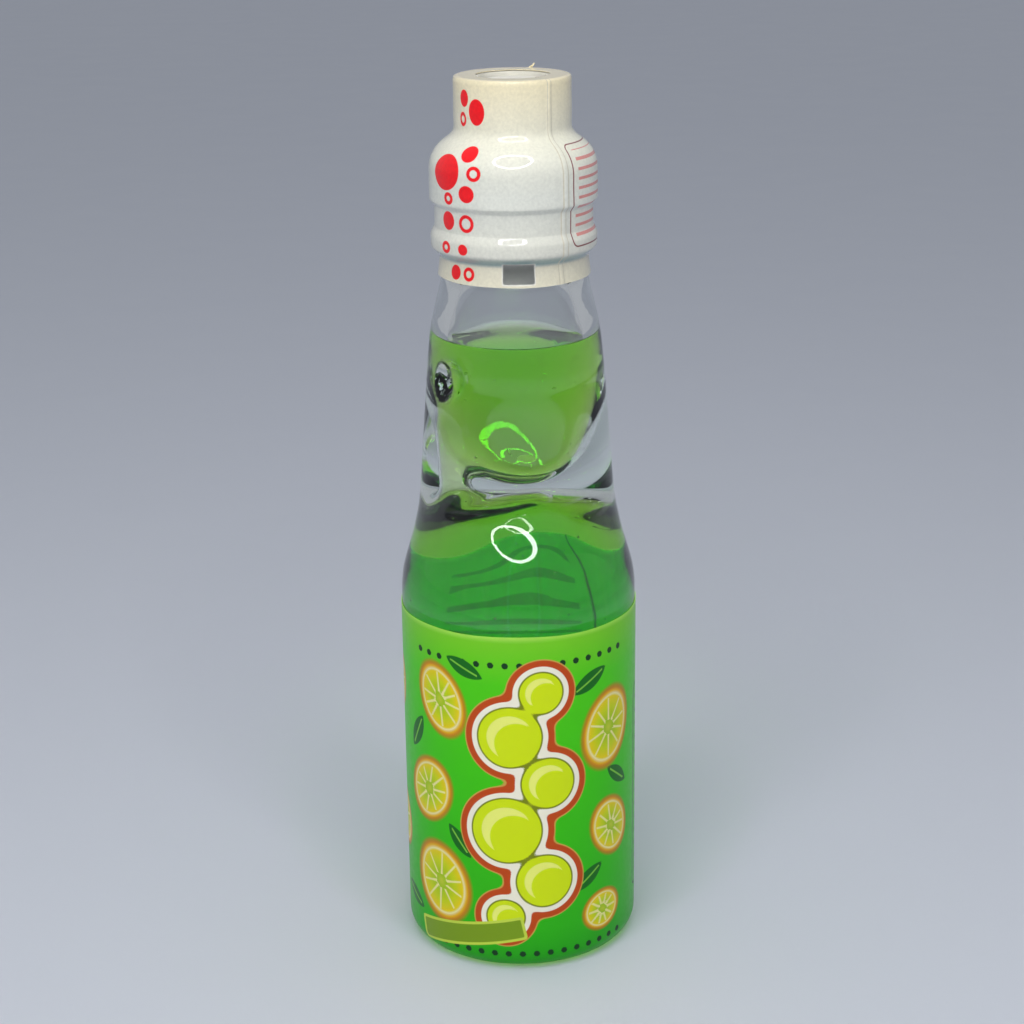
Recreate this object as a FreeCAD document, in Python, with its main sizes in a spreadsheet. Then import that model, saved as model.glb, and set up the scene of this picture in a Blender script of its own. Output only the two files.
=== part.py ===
import FreeCAD, Part
import math
import os
import re

import Sketcher

# Marble stopper bottle: a glass bottle with a pinched waist, sealed by a marble under a moulded mouth cap.
# Millimetres, +Z up, origin at the middle of the standing ring. The camera side of the bottle faces -Y.

# Driving sizes: name, value, meaning. Heights build on each other from the base upwards.
SIZES = [
    ("body_radius", 28.0, "outer radius of the glass body"),
    ("body_wall", 3.6, "glass wall of the body"),
    ("body_height", 93.1, "base to the corner between body and shoulder"),
    ("body_blend", 28.0, "rounding between body and shoulder"),
    ("heel_radius", 4.5, "rounding from the body to the standing ring"),
    ("stand_width", 3.0, "width of the flat standing ring"),
    ("push_up", 3.2, "height of the hollow under the base"),
    ("push_round", 2.0, "rounding at the rim of that hollow"),
    ("base_thick", 5.2, "glass over that hollow"),
    ("floor_round", 7.0, "rounding from the inner floor to the inner wall"),
    ("shoulder_height", 14.5, "body corner to the waist corner"),
    ("waist_radius", 23.65, "outer radius at the waist corner"),
    ("waist_blend", 70.0, "rounding at the waist"),
    ("chamber_height", 45.8, "waist corner to the throat corner"),
    ("throat_radius", 19.76, "outer radius at the throat corner"),
    ("throat_blend", 70.0, "rounding at the throat"),
    ("throat_height", 12.1, "throat corner to the neck corner"),
    ("neck_radius", 16.6, "outer radius of the neck"),
    ("neck_blend", 28.0, "rounding from throat to neck"),
    ("neck_height", 5.7, "neck corner to the neck bead"),
    ("bead_radius", 18.7, "outer radius of the neck bead"),
    ("bead_height", 5.0, "height of the neck bead"),
    ("bead_round", 2.0, "rounding of the neck bead"),
    ("finish_radius", 14.6, "outer radius of the glass finish"),
    ("finish_height", 14.3, "neck bead to the top of the glass"),
    ("finish_round", 0.8, "rounding of the top edge of the glass"),
    ("lock_drop", 6.5, "top of the glass to the middle of the lock ridge"),
    ("lock_half", 1.3, "half height of the lock ridge"),
    ("lock_step", 0.9, "how far the lock ridge stands out"),
    ("marble_radius", 8.4, "radius of the marble"),
    ("bore_gap", 0.8, "room round the marble in the neck"),
    ("bowl_rise", 10.9, "waist corner to the floor of the marble chamber"),
    ("bowl_radius", 10.2, "radius of the chamber at its floor"),
    ("bowl_round", 9.5, "rounding of the chamber floor"),
    ("bulb_radius", 16.4, "widest radius inside the chamber"),
    ("bulb_rise", 24.0, "chamber floor to its widest part"),
    ("bulb_round", 14.0, "rounding at the widest part"),
    ("crown_radius", 15.6, "inner radius where the chamber starts to close"),
    ("crown_rise", 9.5, "widest part to where the chamber starts to close"),
    ("crown_round", 20.0, "rounding there"),
    ("bore_drop", 17.5, "top of the glass to where the straight bore ends"),
    ("bore_round", 14.0, "rounding where the straight bore ends"),
    ("web_thick", 2.9, "glass between the chamber floor and the body cavity"),
    ("dome_flat", 8.0, "radius of the top of the body cavity"),
    ("dome_flat_round", 18.0, "rounding at the top of the body cavity"),
    ("dome_side", 17.0, "radius of the body cavity under its top"),
    ("dome_side_drop", 4.1, "top of the body cavity to that radius"),
    ("dome_side_round", 11.0, "rounding there"),
    ("dome_base_drop", 2.6, "body corner to the foot of the dome inside"),
    ("dome_base_round", 22.0, "rounding there"),
    ("pinch_half", 12.6, "half thickness of the glass between the two pinch dents"),
    ("pinch_drop", 2.5, "chamber floor down to the deepest line of a dent"),
    ("pinch_tip", 5.0, "rounding of the deepest line of a dent"),
    ("pinch_fall", 17.5, "deepest line to the lower edge of a dent"),
    ("pinch_climb", 40.0, "deepest line to the upper edge of a dent"),
    ("pinch_mouth", 30.0, "distance from the axis where a dent is that tall"),
    ("pinch_edge", 6.0, "rounding of the edge of a dent"),
    ("pinch_turn", 15.0, "turn of the dents about the axis, in degrees"),
    ("port_radius", 2.5, "radius of the passage from body to chamber"),
    ("port_offset", 12.4, "distance of the passage from the axis"),
    ("port_climb", 11.0, "chamber floor up to the top of the passage"),
    ("port_fall", 10.0, "chamber floor down to the bottom of the passage"),
    ("dimple_rise", 25.2, "chamber floor up to the catching dimples"),
    ("dimple_radius", 3.5, "radius of a dimple"),
    ("dimple_depth", 4.0, "depth of a dimple"),
    ("dimple_wall", 2.6, "glass behind a dimple"),
    ("bump_radius", 3.8, "radius of the bump that a dimple makes in the chamber"),
    ("dimple_spread", 27.0, "angle of each dimple from the passage, in degrees"),
    ("fill_rise", 32.0, "chamber floor up to the level of the drink"),
    ("drink_gap", 0.08, "gap between the drink and the glass"),
    ("gasket_height", 3.5, "height of the gasket"),
    ("gasket_radius", 12.3, "outer radius of the gasket"),
    ("gasket_bore", 6.4, "inner radius of the gasket"),
    ("seat_run", 1.05, "width of the marble's seat"),
    ("seat_rise", 1.4, "height of the marble's seat"),
    ("seat_gap", 0.06, "gap between the marble and its seat"),
    ("cap_gap", 0.15, "gap between the mouth cap and what it holds"),
    ("cap_lift", 0.4, "gap between the neck bead and the mouth cap"),
    ("band_radius", 17.8, "outer radius of the lower band of the mouth cap"),
    ("band_height", 5.3, "height of that band"),
    ("step_height", 1.2, "height of the step out to the dome"),
    ("cap_radius", 18.8, "outer radius of the dome of the mouth cap"),
    ("cap_round", 7.5, "rounding of the dome"),
    ("cap_drop", 6.26, "top of the mouth cap to the corner of the dome"),
    ("land_radius", 12.95, "outer radius of the top of the mouth cap and of the opener ring"),
    ("land_round", 3.5, "rounding from the dome to the top"),
    ("land_drop", 1.85, "top of the mouth cap to that rounding's corner"),
    ("cap_web", 5.8, "gasket to the top of the mouth cap"),
    ("lip_radius", 10.6, "outer radius of the drinking lip"),
    ("lip_height", 1.6, "height of the drinking lip"),
    ("lip_round", 0.7, "rounding of the drinking lip"),
    ("mouth_bore", 6.9, "inner radius of the drinking mouth"),
    ("ring_gap", 0.2, "gap between the opener ring and the drinking lip"),
    ("ring_seat_gap", 0.05, "gap between the opener ring and the top of the mouth cap"),
    ("ring_height", 10.25, "height of the opener ring"),
    ("ring_top", 1.7, "thickness of the top of the opener ring"),
    ("ring_round", 0.8, "rounding of the opener ring's top edge"),
    ("head_radius", 7.2, "radius of the plunger's button"),
    ("head_sink", 0.9, "how far the button lies below the ring's top"),
    ("head_thick", 1.8, "thickness of the button"),
    ("head_round", 0.4, "rounding of the button's edge"),
    ("head_gap", 0.5, "gap between the button and the ring"),
    ("bridge_gap", 0.05, "gap at the tip of a breakaway bridge"),
    ("bridge_width", 1.6, "width of a breakaway bridge"),
    ("bridge_thick", 0.7, "thickness of a breakaway bridge"),
    ("tube_radius", 5.6, "outer radius of the plunger's tube"),
    ("tube_wall", 1.4, "wall of the plunger's tube"),
    ("tube_gap", 0.3, "gap between the plunger's tube and the marble"),
    ("wrap_gap", 0.15, "gap between the wrap and what it covers"),
    ("wrap_thick", 0.15, "thickness of the wrap"),
    ("wrap_hole", 8.2, "radius of the hole in the top of the wrap"),
    ("wrap_hug", 1.1, "height from the bead's edges to where the wrap leaves it"),
    ("wrap_bend", 1.0, "rounding of the wrap's bends at the bead"),
    ("wrap_tuck", 0.8, "bead to the wrap's narrowest line under it"),
    ("wrap_flare", 0.6, "how far the wrap's lower edge stands out"),
    ("wrap_skirt", 5.5, "bead to the lower edge of the wrap"),
    ("label_gap", 0.1, "gap between the label and the glass"),
    ("label_thick", 0.12, "thickness of the label"),
    ("label_top", 86.4, "height of the label's upper edge"),
    ("label_foot", 0.8, "height of the label's lower edge"),
]
BRIDGES = 4

# Heights that follow from the driving sizes
WAIST_Z = "(body_height + shoulder_height)"
THROAT_Z = f"({WAIST_Z} + chamber_height)"
NECK_Z = f"({THROAT_Z} + throat_height)"
BEAD_Z = f"({NECK_Z} + neck_height)"
BEAD_TOP = f"({BEAD_Z} + bead_height)"
FINISH_Z = f"({BEAD_TOP} + finish_height)"
LOCK_Z = f"({FINISH_Z} - lock_drop)"
BOWL_Z = f"({WAIST_Z} + bowl_rise)"
BULB_Z = f"({BOWL_Z} + bulb_rise)"
CROWN_Z = f"({BULB_Z} + crown_rise)"
FILL_Z = f"({BOWL_Z} + fill_rise)"
VAULT_Z = f"({BOWL_Z} - web_thick)"
CAP_Z = f"({BEAD_TOP} + cap_lift)"
GASKET_TOP = f"({FINISH_Z} + gasket_height)"
LAND_Z = f"({GASKET_TOP} + cap_web)"
LIP_Z = f"({LAND_Z} + lip_height)"
RING_Z = f"({LAND_Z} + ring_seat_gap)"
RING_TOP = f"({RING_Z} + ring_height)"
HEAD_Z = f"({RING_TOP} - head_sink)"
HEAD_UNDER = f"({HEAD_Z} - head_thick)"

# Places that follow from the driving sizes
NECK_BORE = "(marble_radius + bore_gap)"
CAVITY_RADIUS = "(body_radius - body_wall)"
SEAT_SLANT = "hypot(seat_run; seat_rise)"
MARBLE_Z = (
    f"({FINISH_Z} + ((gasket_bore + seat_run) * seat_rise / {SEAT_SLANT}"
    f" - marble_radius - seat_gap) * {SEAT_SLANT} / seat_run)"
)
TUBE_BORE = "(tube_radius - tube_wall)"
TUBE_Z = f"({MARBLE_Z} + sqrt(marble_radius ^ 2 - {TUBE_BORE} ^ 2) + tube_gap)"
PINCH_Z = f"({BOWL_Z} - pinch_drop)"
DIMPLE_Z = f"({BOWL_Z} + dimple_rise)"
DIMPLE_SKIN = (
    f"(waist_radius + (throat_radius - waist_radius) * ({DIMPLE_Z} - {WAIST_Z}) / chamber_height)"
)
DIMPLE_REACH = f"({DIMPLE_SKIN} - dimple_depth + dimple_radius)"
BUMP_REACH = f"({DIMPLE_SKIN} - dimple_depth - dimple_wall + bump_radius)"

doc = FreeCAD.newDocument("marble_stopper_bottle")
sheet = doc.addObject("Spreadsheet::Sheet", "dims")
for row, (alias, size, meaning) in enumerate(SIZES, start=1):
    sheet.set(f"A{row}", meaning)
    sheet.set(f"B{row}", str(size))
    sheet.setAlias(f"B{row}", alias)
doc.recompute()


def cells(text):
    """The expression with each size name read from the sheet."""
    return re.sub(r"[a-z]+_[a-z_]+", r"dims.\g<0>", text)


def value(text):
    """The expression's number."""
    return float(sheet.evalExpression(cells(text)))


def plane(body, role):
    """One of the body's own origin planes or axes."""
    return next(item for item in body.Origin.OriginFeatures if item.Role == role)


def new_body(label):
    """An empty body whose label names the sub-part."""
    body = doc.addObject("PartDesign::Body", label)
    body.Label = label
    return body


def new_sketch(body, name, role, height=None):
    """A sketch on an origin plane of the body, lifted to a height where one is given."""
    sketch = body.newObject("Sketcher::SketchObject", name)
    sketch.AttachmentSupport = [(plane(body, role), "")]
    sketch.MapMode = "FlatFace"
    if height:
        sketch.setExpression("AttachmentOffset.Base.z", cells(height))
    return sketch


def pin(sketch, place, corner):
    """Holds a point of the sketch at the corner's two distances from the origin."""
    for kind, text in zip(("DistanceX", "DistanceY"), corner):
        index = sketch.addConstraint(Sketcher.Constraint(kind, -1, 1, *place, value(text)))
        sketch.setExpression(f"Constraints[{index}]", cells(text))


def outline(sketch, corners):
    """A closed outline of straight runs. A corner is (across, up) or (across, up, rounding)."""
    count = len(corners)
    spots = [FreeCAD.Vector(value(corner[0]), value(corner[1])) for corner in corners]
    reach, leave, bends = [], [], []
    for i, corner in enumerate(corners):
        back = (spots[i - 1] - spots[i]).normalize()
        ahead = (spots[(i + 1) % count] - spots[i]).normalize()
        radius = value(corner[2]) if len(corner) > 2 else 0.0
        half = back.getAngle(ahead) / 2
        reach.append(spots[i] + back * (radius / math.tan(half)))
        leave.append(spots[i] + ahead * (radius / math.tan(half)))
        bends.append((radius, spots[i] + (back + ahead).normalize() * (radius / math.sin(half))))
    runs = [
        sketch.addGeometry(Part.LineSegment(leave[i], reach[(i + 1) % count]), False) for i in range(count)
    ]
    for i, corner in enumerate(corners):
        before, after = runs[i - 1], runs[i]
        radius, centre = bends[i]
        if not radius:
            sketch.addConstraint(Sketcher.Constraint("Coincident", before, 2, after, 1))
            pin(sketch, (after, 1), corner[:2])
            continue
        first, last = reach[i] - centre, leave[i] - centre
        turns_left = first.cross(last).z > 0
        if not turns_left:
            first, last = last, first
        arc = sketch.addGeometry(
            Part.ArcOfCircle(
                Part.Circle(centre, FreeCAD.Vector(0, 0, 1), radius),
                math.atan2(first.y, first.x),
                math.atan2(last.y, last.x),
            ),
            False,
        )
        start, end = (1, 2) if turns_left else (2, 1)
        sketch.addConstraint(Sketcher.Constraint("Tangent", before, 2, arc, start))
        sketch.addConstraint(Sketcher.Constraint("Tangent", arc, end, after, 1))
        index = sketch.addConstraint(Sketcher.Constraint("Radius", arc, radius))
        sketch.setExpression(f"Constraints[{index}]", cells(corner[2]))
        mark = sketch.addGeometry(Part.Point(spots[i]), True)
        sketch.addConstraint(Sketcher.Constraint("PointOnObject", mark, 1, before))
        sketch.addConstraint(Sketcher.Constraint("PointOnObject", mark, 1, after))
        pin(sketch, (mark, 1), corner[:2])


def turned(body, name, corners, kind="PartDesign::Revolution"):
    """A turned feature of the body about its Z axis, from an outline of (radius, height) corners."""
    sketch = new_sketch(body, f"{name}_outline", "XZ_Plane")
    outline(sketch, corners)
    feature = body.newObject(kind, name)
    feature.Profile = sketch
    feature.ReferenceAxis = (sketch, ["V_Axis"])
    feature.Angle = 360
    doc.recompute()
    return feature


def disc(sketch, across, up, radius):
    """A circle in the sketch, held by its centre and radius."""
    centre = FreeCAD.Vector(value(across), value(up))
    circle = sketch.addGeometry(Part.Circle(centre, FreeCAD.Vector(0, 0, 1), value(radius)), False)
    pin(sketch, (circle, 3), (across, up))
    index = sketch.addConstraint(Sketcher.Constraint("Radius", circle, value(radius)))
    sketch.setExpression(f"Constraints[{index}]", cells(radius))


def ball(body, name, kind, radius, reach, sign):
    """A sphere at a reach from the axis, beside the passage by the dimple spread times sign."""
    sphere = body.newObject(kind, name)
    sphere.setExpression("Radius", cells(radius))
    angle = f"(180 + {sign} * dimple_spread) * 1 deg"
    sphere.setExpression("Placement.Base.x", cells(f"{reach} * cos({angle})"))
    sphere.setExpression("Placement.Base.y", cells(f"{reach} * sin({angle})"))
    sphere.setExpression("Placement.Base.z", cells(DIMPLE_Z))
    doc.recompute()
    return sphere


def turn_with_dents(body):
    """Turns the body about the axis to where the pinch dents face."""
    body.Placement = FreeCAD.Placement(FreeCAD.Vector(), FreeCAD.Rotation(FreeCAD.Vector(0, 0, 1), -1))
    body.setExpression("Placement.Rotation.Angle", cells("pinch_turn * 1 deg"))


def body_cavity(gap):
    """Corners of the hollow of the body, drawn in by a gap."""
    floor = f"push_up + base_thick + {gap}"
    side = f"{CAVITY_RADIUS} - {gap}"
    return [
        ("0", floor),
        (side, floor, f"floor_round - {gap}"),
        (side, f"body_height - dome_base_drop - {gap}", f"dome_base_round - {gap}"),
        (f"dome_side - {gap}", f"{VAULT_Z} - dome_side_drop - {gap}", f"dome_side_round - {gap}"),
        (f"dome_flat - {gap}", f"{VAULT_Z} - {gap}", f"dome_flat_round - {gap}"),
        ("0", f"{VAULT_Z} - {gap}"),
    ]


def chamber_wall(gap):
    """Corners of the marble chamber from its floor to its widest part, drawn in by a gap."""
    return [
        ("0", f"{BOWL_Z} + {gap}"),
        (f"bowl_radius - {gap}", f"{BOWL_Z} + {gap}", f"bowl_round - {gap}"),
        (f"bulb_radius - {gap}", BULB_Z, f"bulb_round - {gap}"),
    ]


def make_glass():
    """The bottle: turned outside, two pinch dents, two hollows, a passage and two catching dimples."""
    body = new_body("glass_bottle")
    lock_out = "finish_radius + lock_step"
    flank = "lock_half - lock_step"
    turned(body, "glass_outside", [
        ("0", "push_up"),
        ("body_radius - heel_radius - stand_width - push_up", "push_up", "push_round"),
        ("body_radius - heel_radius - stand_width", "0"),
        ("body_radius", "0", "heel_radius"),
        ("body_radius", "body_height", "body_blend"),
        ("waist_radius", WAIST_Z, "waist_blend"),
        ("throat_radius", THROAT_Z, "throat_blend"),
        ("neck_radius", NECK_Z, "neck_blend"),
        ("neck_radius", BEAD_Z),
        ("bead_radius", BEAD_Z, "bead_round"),
        ("bead_radius", BEAD_TOP, "bead_round"),
        ("finish_radius", BEAD_TOP),
        ("finish_radius", f"{LOCK_Z} - lock_half"),
        (lock_out, f"{LOCK_Z} - ({flank})"),
        (lock_out, f"{LOCK_Z} + {flank}"),
        ("finish_radius", f"{LOCK_Z} + lock_half"),
        ("finish_radius", FINISH_Z, "finish_round"),
        ("0", FINISH_Z),
    ])
    solid_volume = body.Shape.Volume

    sketch = new_sketch(body, "pinch_outline", "YZ_Plane")
    for side in ("", "-"):
        corners = [
            (f"{side}pinch_half", PINCH_Z, "pinch_tip"),
            (f"{side}pinch_mouth", f"{PINCH_Z} - pinch_fall"),
            (f"{side}pinch_mouth", f"{PINCH_Z} + pinch_climb"),
        ]
        outline(sketch, corners)
    pinch = body.newObject("PartDesign::Pocket", "pinch")
    pinch.Profile = sketch
    pinch.Type = "ThroughAll"
    pinch.Midplane = True
    doc.recompute()
    if not body.Shape.Volume < solid_volume:
        raise RuntimeError("the pinch dents cut nothing")

    turned_edges = ("Part::GeomLine", "Part::GeomCircle")
    rims = [
        f"Edge{index}"
        for index, edge in enumerate(pinch.Shape.Edges, start=1)
        if edge.Curve.TypeId not in turned_edges
    ]
    rounding = body.newObject("PartDesign::Fillet", "pinch_rims")
    rounding.Base = (pinch, rims)
    rounding.setExpression("Radius", cells("pinch_edge"))
    doc.recompute()

    turned(body, "glass_cavity", body_cavity("0"), "PartDesign::Groove")
    turned(body, "glass_chamber", chamber_wall("0") + [
        ("crown_radius", CROWN_Z, "crown_round"),
        (NECK_BORE, f"{FINISH_Z} - bore_drop", "bore_round"),
        (NECK_BORE, FINISH_Z),
        ("0", FINISH_Z),
    ], "PartDesign::Groove")

    sketch = new_sketch(body, "port_outline", "XY_Plane", f"{BOWL_Z} + port_climb")
    disc(sketch, "-port_offset", "0", "port_radius")
    port = body.newObject("PartDesign::Pocket", "port")
    port.Profile = sketch
    port.setExpression("Length", cells("port_climb + port_fall"))
    doc.recompute()
    for side, sign in (("near", "1"), ("far", "-1")):
        ball(body, f"{side}_bump", "PartDesign::AdditiveSphere", "bump_radius", BUMP_REACH, sign)
        ball(body, f"{side}_dimple", "PartDesign::SubtractiveSphere", "dimple_radius", DIMPLE_REACH, sign)
    turn_with_dents(body)
    return body


def make_drink():
    """The soda: it fills the body, the passage and the chamber up to its level."""
    body = new_body("drink")
    turned(body, "drink_body", body_cavity("drink_gap"))
    sketch = new_sketch(body, "drink_port_outline", "XY_Plane", f"{BOWL_Z} - port_fall")
    disc(sketch, "-port_offset", "0", "port_radius - drink_gap")
    port = body.newObject("PartDesign::Pad", "drink_port")
    port.Profile = sketch
    port.setExpression("Length", cells("port_climb + port_fall - drink_gap"))
    doc.recompute()
    turned(body, "drink_chamber", chamber_wall("drink_gap") + [
        (
            "bulb_radius - drink_gap - (bulb_radius - crown_radius) * (fill_rise - bulb_rise) / crown_rise",
            FILL_Z,
        ),
        ("0", FILL_Z),
    ])
    for side, sign in (("near", "1"), ("far", "-1")):
        radius = "bump_radius + drink_gap"
        ball(body, f"{side}_hollow", "PartDesign::SubtractiveSphere", radius, BUMP_REACH, sign)
    turn_with_dents(body)
    return body


def make_marble():
    """The marble, held up against the gasket."""
    marble = doc.addObject("Part::Sphere", "marble")
    marble.Label = "marble"
    marble.setExpression("Radius", cells("marble_radius"))
    marble.setExpression("Placement.Base.z", cells(MARBLE_Z))
    return marble


def make_gasket():
    """The rubber ring between the glass and the mouth cap, with a sloping seat for the marble."""
    body = new_body("mouth_gasket")
    turned(body, "gasket_ring", [
        ("gasket_bore + seat_run", FINISH_Z),
        ("gasket_radius", FINISH_Z),
        ("gasket_radius", GASKET_TOP),
        ("gasket_bore", GASKET_TOP),
        ("gasket_bore", f"{FINISH_Z} + seat_rise"),
    ])
    return body


def make_mouth_cap():
    """The drinking mouth: a moulded dome that snaps over the glass finish and holds the gasket."""
    body = new_body("mouth_cap")
    inside = "finish_radius + cap_gap"
    groove = "finish_radius + lock_step + cap_gap"
    flank = "lock_half - lock_step"
    turned(body, "cap_shell", [
        (inside, CAP_Z),
        ("band_radius", CAP_Z),
        ("band_radius", f"{CAP_Z} + band_height"),
        ("cap_radius", f"{CAP_Z} + band_height + step_height"),
        ("cap_radius", f"{LAND_Z} - cap_drop", "cap_round"),
        ("land_radius", f"{LAND_Z} - land_drop", "land_round"),
        ("land_radius", LAND_Z),
        ("lip_radius", LAND_Z),
        ("lip_radius", LIP_Z, "lip_round"),
        ("mouth_bore", LIP_Z, "lip_round"),
        ("mouth_bore", GASKET_TOP),
        ("gasket_radius + cap_gap", GASKET_TOP),
        ("gasket_radius + cap_gap", f"{FINISH_Z} + cap_gap"),
        (inside, f"{FINISH_Z} + cap_gap"),
        (inside, f"{LOCK_Z} + lock_half + cap_gap"),
        (groove, f"{LOCK_Z} + {flank} + cap_gap"),
        (groove, f"{LOCK_Z} - ({flank}) - cap_gap"),
        (inside, f"{LOCK_Z} - lock_half - cap_gap"),
    ])
    return body


def make_opener_ring():
    """The ring that stands on the mouth cap and carries the plunger on breakaway bridges."""
    body = new_body("opener_ring")
    inside = "lip_radius + ring_gap"
    hole = "head_radius + head_gap"
    turned(body, "ring_shell", [
        (inside, RING_Z),
        ("land_radius", RING_Z),
        ("land_radius", RING_TOP, "ring_round"),
        (hole, RING_TOP),
        (hole, f"{RING_TOP} - ring_top"),
        (inside, f"{RING_TOP} - ring_top"),
    ])
    sketch = new_sketch(body, "bridge_outline", "XY_Plane", f"{RING_TOP} - ring_top")
    outline(sketch, [
        ("head_radius + bridge_gap", "-bridge_width / 2"),
        ("head_radius + 2 * head_gap", "-bridge_width / 2"),
        ("head_radius + 2 * head_gap", "bridge_width / 2"),
        ("head_radius + bridge_gap", "bridge_width / 2"),
    ])
    bridge = body.newObject("PartDesign::Pad", "bridge")
    bridge.Profile = sketch
    bridge.setExpression("Length", cells("bridge_thick"))
    doc.recompute()
    bridges = body.newObject("PartDesign::PolarPattern", "bridges")
    bridges.Originals = [bridge]
    bridges.Axis = (plane(body, "Z_Axis"), [""])
    bridges.Angle = 360
    bridges.Occurrences = BRIDGES
    body.Tip = bridges
    doc.recompute()
    return body


def make_plunger():
    """The button in the ring, with the tube that pushes the marble off its seat."""
    body = new_body("opener_plunger")
    turned(body, "plunger_shell", [
        (TUBE_BORE, TUBE_Z),
        ("tube_radius", TUBE_Z),
        ("tube_radius", HEAD_UNDER),
        ("head_radius", HEAD_UNDER),
        ("head_radius", HEAD_Z, "head_round"),
        ("0", HEAD_Z),
        ("0", HEAD_UNDER),
        (TUBE_BORE, HEAD_UNDER),
    ])
    return body


def wrap_line(gap):
    """Corners of one face of the wrap, from the hole in its top to its lower edge."""
    return [
        ("wrap_hole", f"{RING_TOP} + {gap}"),
        (f"land_radius + {gap}", f"{RING_TOP} + {gap}", f"ring_round + {gap}"),
        (f"land_radius + {gap}", f"{LAND_Z} - land_drop", f"land_round - ({gap})"),
        (f"cap_radius + {gap}", f"{LAND_Z} - cap_drop", f"cap_round + {gap}"),
        (f"cap_radius + {gap}", f"{CAP_Z} + band_height + step_height"),
        (f"band_radius + {gap}", f"{CAP_Z} + band_height"),
        (f"band_radius + {gap}", f"{CAP_Z} + cap_lift"),
        (f"bead_radius + {gap}", f"{BEAD_TOP} - wrap_hug", "wrap_bend"),
        (f"bead_radius + {gap}", f"{BEAD_Z} + wrap_hug", "wrap_bend"),
        (f"neck_radius + {gap}", f"{BEAD_Z} - wrap_tuck", "wrap_bend"),
        (f"neck_radius + wrap_flare + {gap}", f"{BEAD_Z} - wrap_skirt"),
    ]


def make_wrap():
    """The shrink film over the opener, the mouth cap and the neck bead."""
    body = new_body("cap_wrap")
    inner = wrap_line("wrap_gap")
    outer = wrap_line("wrap_gap + wrap_thick")
    turned(body, "wrap_film", inner + outer[::-1])
    return body


def make_label():
    """The printed sleeve on the body, drawn in round the heel."""
    body = new_body("body_label")
    near, far = "label_gap", "label_gap + label_thick"
    foot = "body_radius - heel_radius - stand_width"
    turned(body, "label_film", [
        (foot, f"-({near})"),
        (f"body_radius + {near}", f"-({near})", f"heel_radius + {near}"),
        (f"body_radius + {near}", "label_top"),
        (f"body_radius + {far}", "label_top"),
        (f"body_radius + {far}", f"-({far})", f"heel_radius + {far}"),
        (foot, f"-({far})"),
    ])
    sketch = new_sketch(body, "foot_outline", "XY_Plane", "label_foot")
    disc(sketch, "0", "0", "2 * body_radius")
    trim = body.newObject("PartDesign::Pocket", "foot_trim")
    trim.Profile = sketch
    trim.Type = "ThroughAll"
    doc.recompute()
    return body


sub_parts = [
    make_glass(),
    make_drink(),
    make_marble(),
    make_gasket(),
    make_mouth_cap(),
    make_opener_ring(),
    make_plunger(),
    make_wrap(),
    make_label(),
]
doc.recompute()

failed = [item.Label for item in doc.Objects if {"Invalid", "Error"} & set(item.State)]
if failed:
    raise RuntimeError(f"these objects failed: {failed}")
for part in sub_parts:
    if part.Shape.isNull() or not part.Shape.isValid() or len(part.Shape.Solids) != 1:
        raise RuntimeError(f"{part.Label} isn't one valid solid")

os.makedirs("parts", exist_ok=True)
for part in sub_parts:
    part.Shape.exportStep(f"parts/{part.Label}.step")
    box = part.Shape.BoundBox
    print(f"{part.Label}: {part.Shape.Volume:.1f} mm3, z {box.ZMin:.2f} to {box.ZMax:.2f} mm")
print(f"marble centre {value(MARBLE_Z):.3f} mm, plunger stroke {value(f'{HEAD_UNDER} - {LIP_Z}'):.3f} mm")
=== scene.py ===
"""Looks of a sealed marble stopper bottle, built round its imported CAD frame.

The values that shape a piece are millimetres and degrees where nothing else is said, and functions
pass angles on in radians. The frame is the CAD model's: +Z up, the photographed side facing -Y.
"""

import logging
import math
from abc import ABC, abstractmethod
from collections.abc import Callable, Iterable, Sequence
from dataclasses import dataclass, field
from enum import Enum

import bmesh
import bpy
import numpy as np
from mathutils import Matrix, Vector


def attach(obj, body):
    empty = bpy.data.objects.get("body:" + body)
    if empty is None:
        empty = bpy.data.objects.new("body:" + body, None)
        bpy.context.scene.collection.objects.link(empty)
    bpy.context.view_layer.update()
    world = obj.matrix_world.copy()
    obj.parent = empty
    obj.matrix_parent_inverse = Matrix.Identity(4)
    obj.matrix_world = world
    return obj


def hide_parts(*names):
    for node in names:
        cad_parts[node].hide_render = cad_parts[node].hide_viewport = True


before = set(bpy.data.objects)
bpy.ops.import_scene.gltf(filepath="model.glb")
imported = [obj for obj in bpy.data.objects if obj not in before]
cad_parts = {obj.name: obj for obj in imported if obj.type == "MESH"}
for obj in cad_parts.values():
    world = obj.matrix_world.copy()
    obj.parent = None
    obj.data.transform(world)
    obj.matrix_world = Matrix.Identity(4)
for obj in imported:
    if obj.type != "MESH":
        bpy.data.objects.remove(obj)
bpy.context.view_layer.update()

MM = 0.001
FULL_TURN = 2.0 * math.pi
FRONT_ANGLE = -math.pi / 2.0
SHARP_ANGLE = math.radians(38.0)
# Points of a mesh that lie closer than this are one point, in millimetres
WELD_GAP = 1e-4
# A distance that no ink reaches, in millimetres
FAR_OFF = 99.0
# The span that most of a noise pattern's values lie in, and how finely it is broken up
NOISE_LOW, NOISE_HIGH, NOISE_DETAIL = 0.3, 0.7, 2.0
# Sockets of a colour mix node
MIX_FACTOR, MIX_A, MIX_B, MIX_RESULT = 0, 6, 7, 2

LOG = logging.getLogger("marble_stopper_bottle")

Bend = Callable[[np.ndarray, np.ndarray, np.ndarray], tuple[np.ndarray, np.ndarray]]
Field = Callable[[np.ndarray], np.ndarray]
Stops = tuple[tuple[float, str], ...]


class Body(Enum):
    """The frame's bodies that new pieces ride on."""

    BOTTLE = "bottle"
    OPENER = "opener"


class Slot(Enum):
    """The record's material slots, one for each kind of new piece."""

    GLASS = "bottle_glass"
    SODA = "soda"
    WRAP = "wrap_film"
    LABEL = "label_film"


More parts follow.
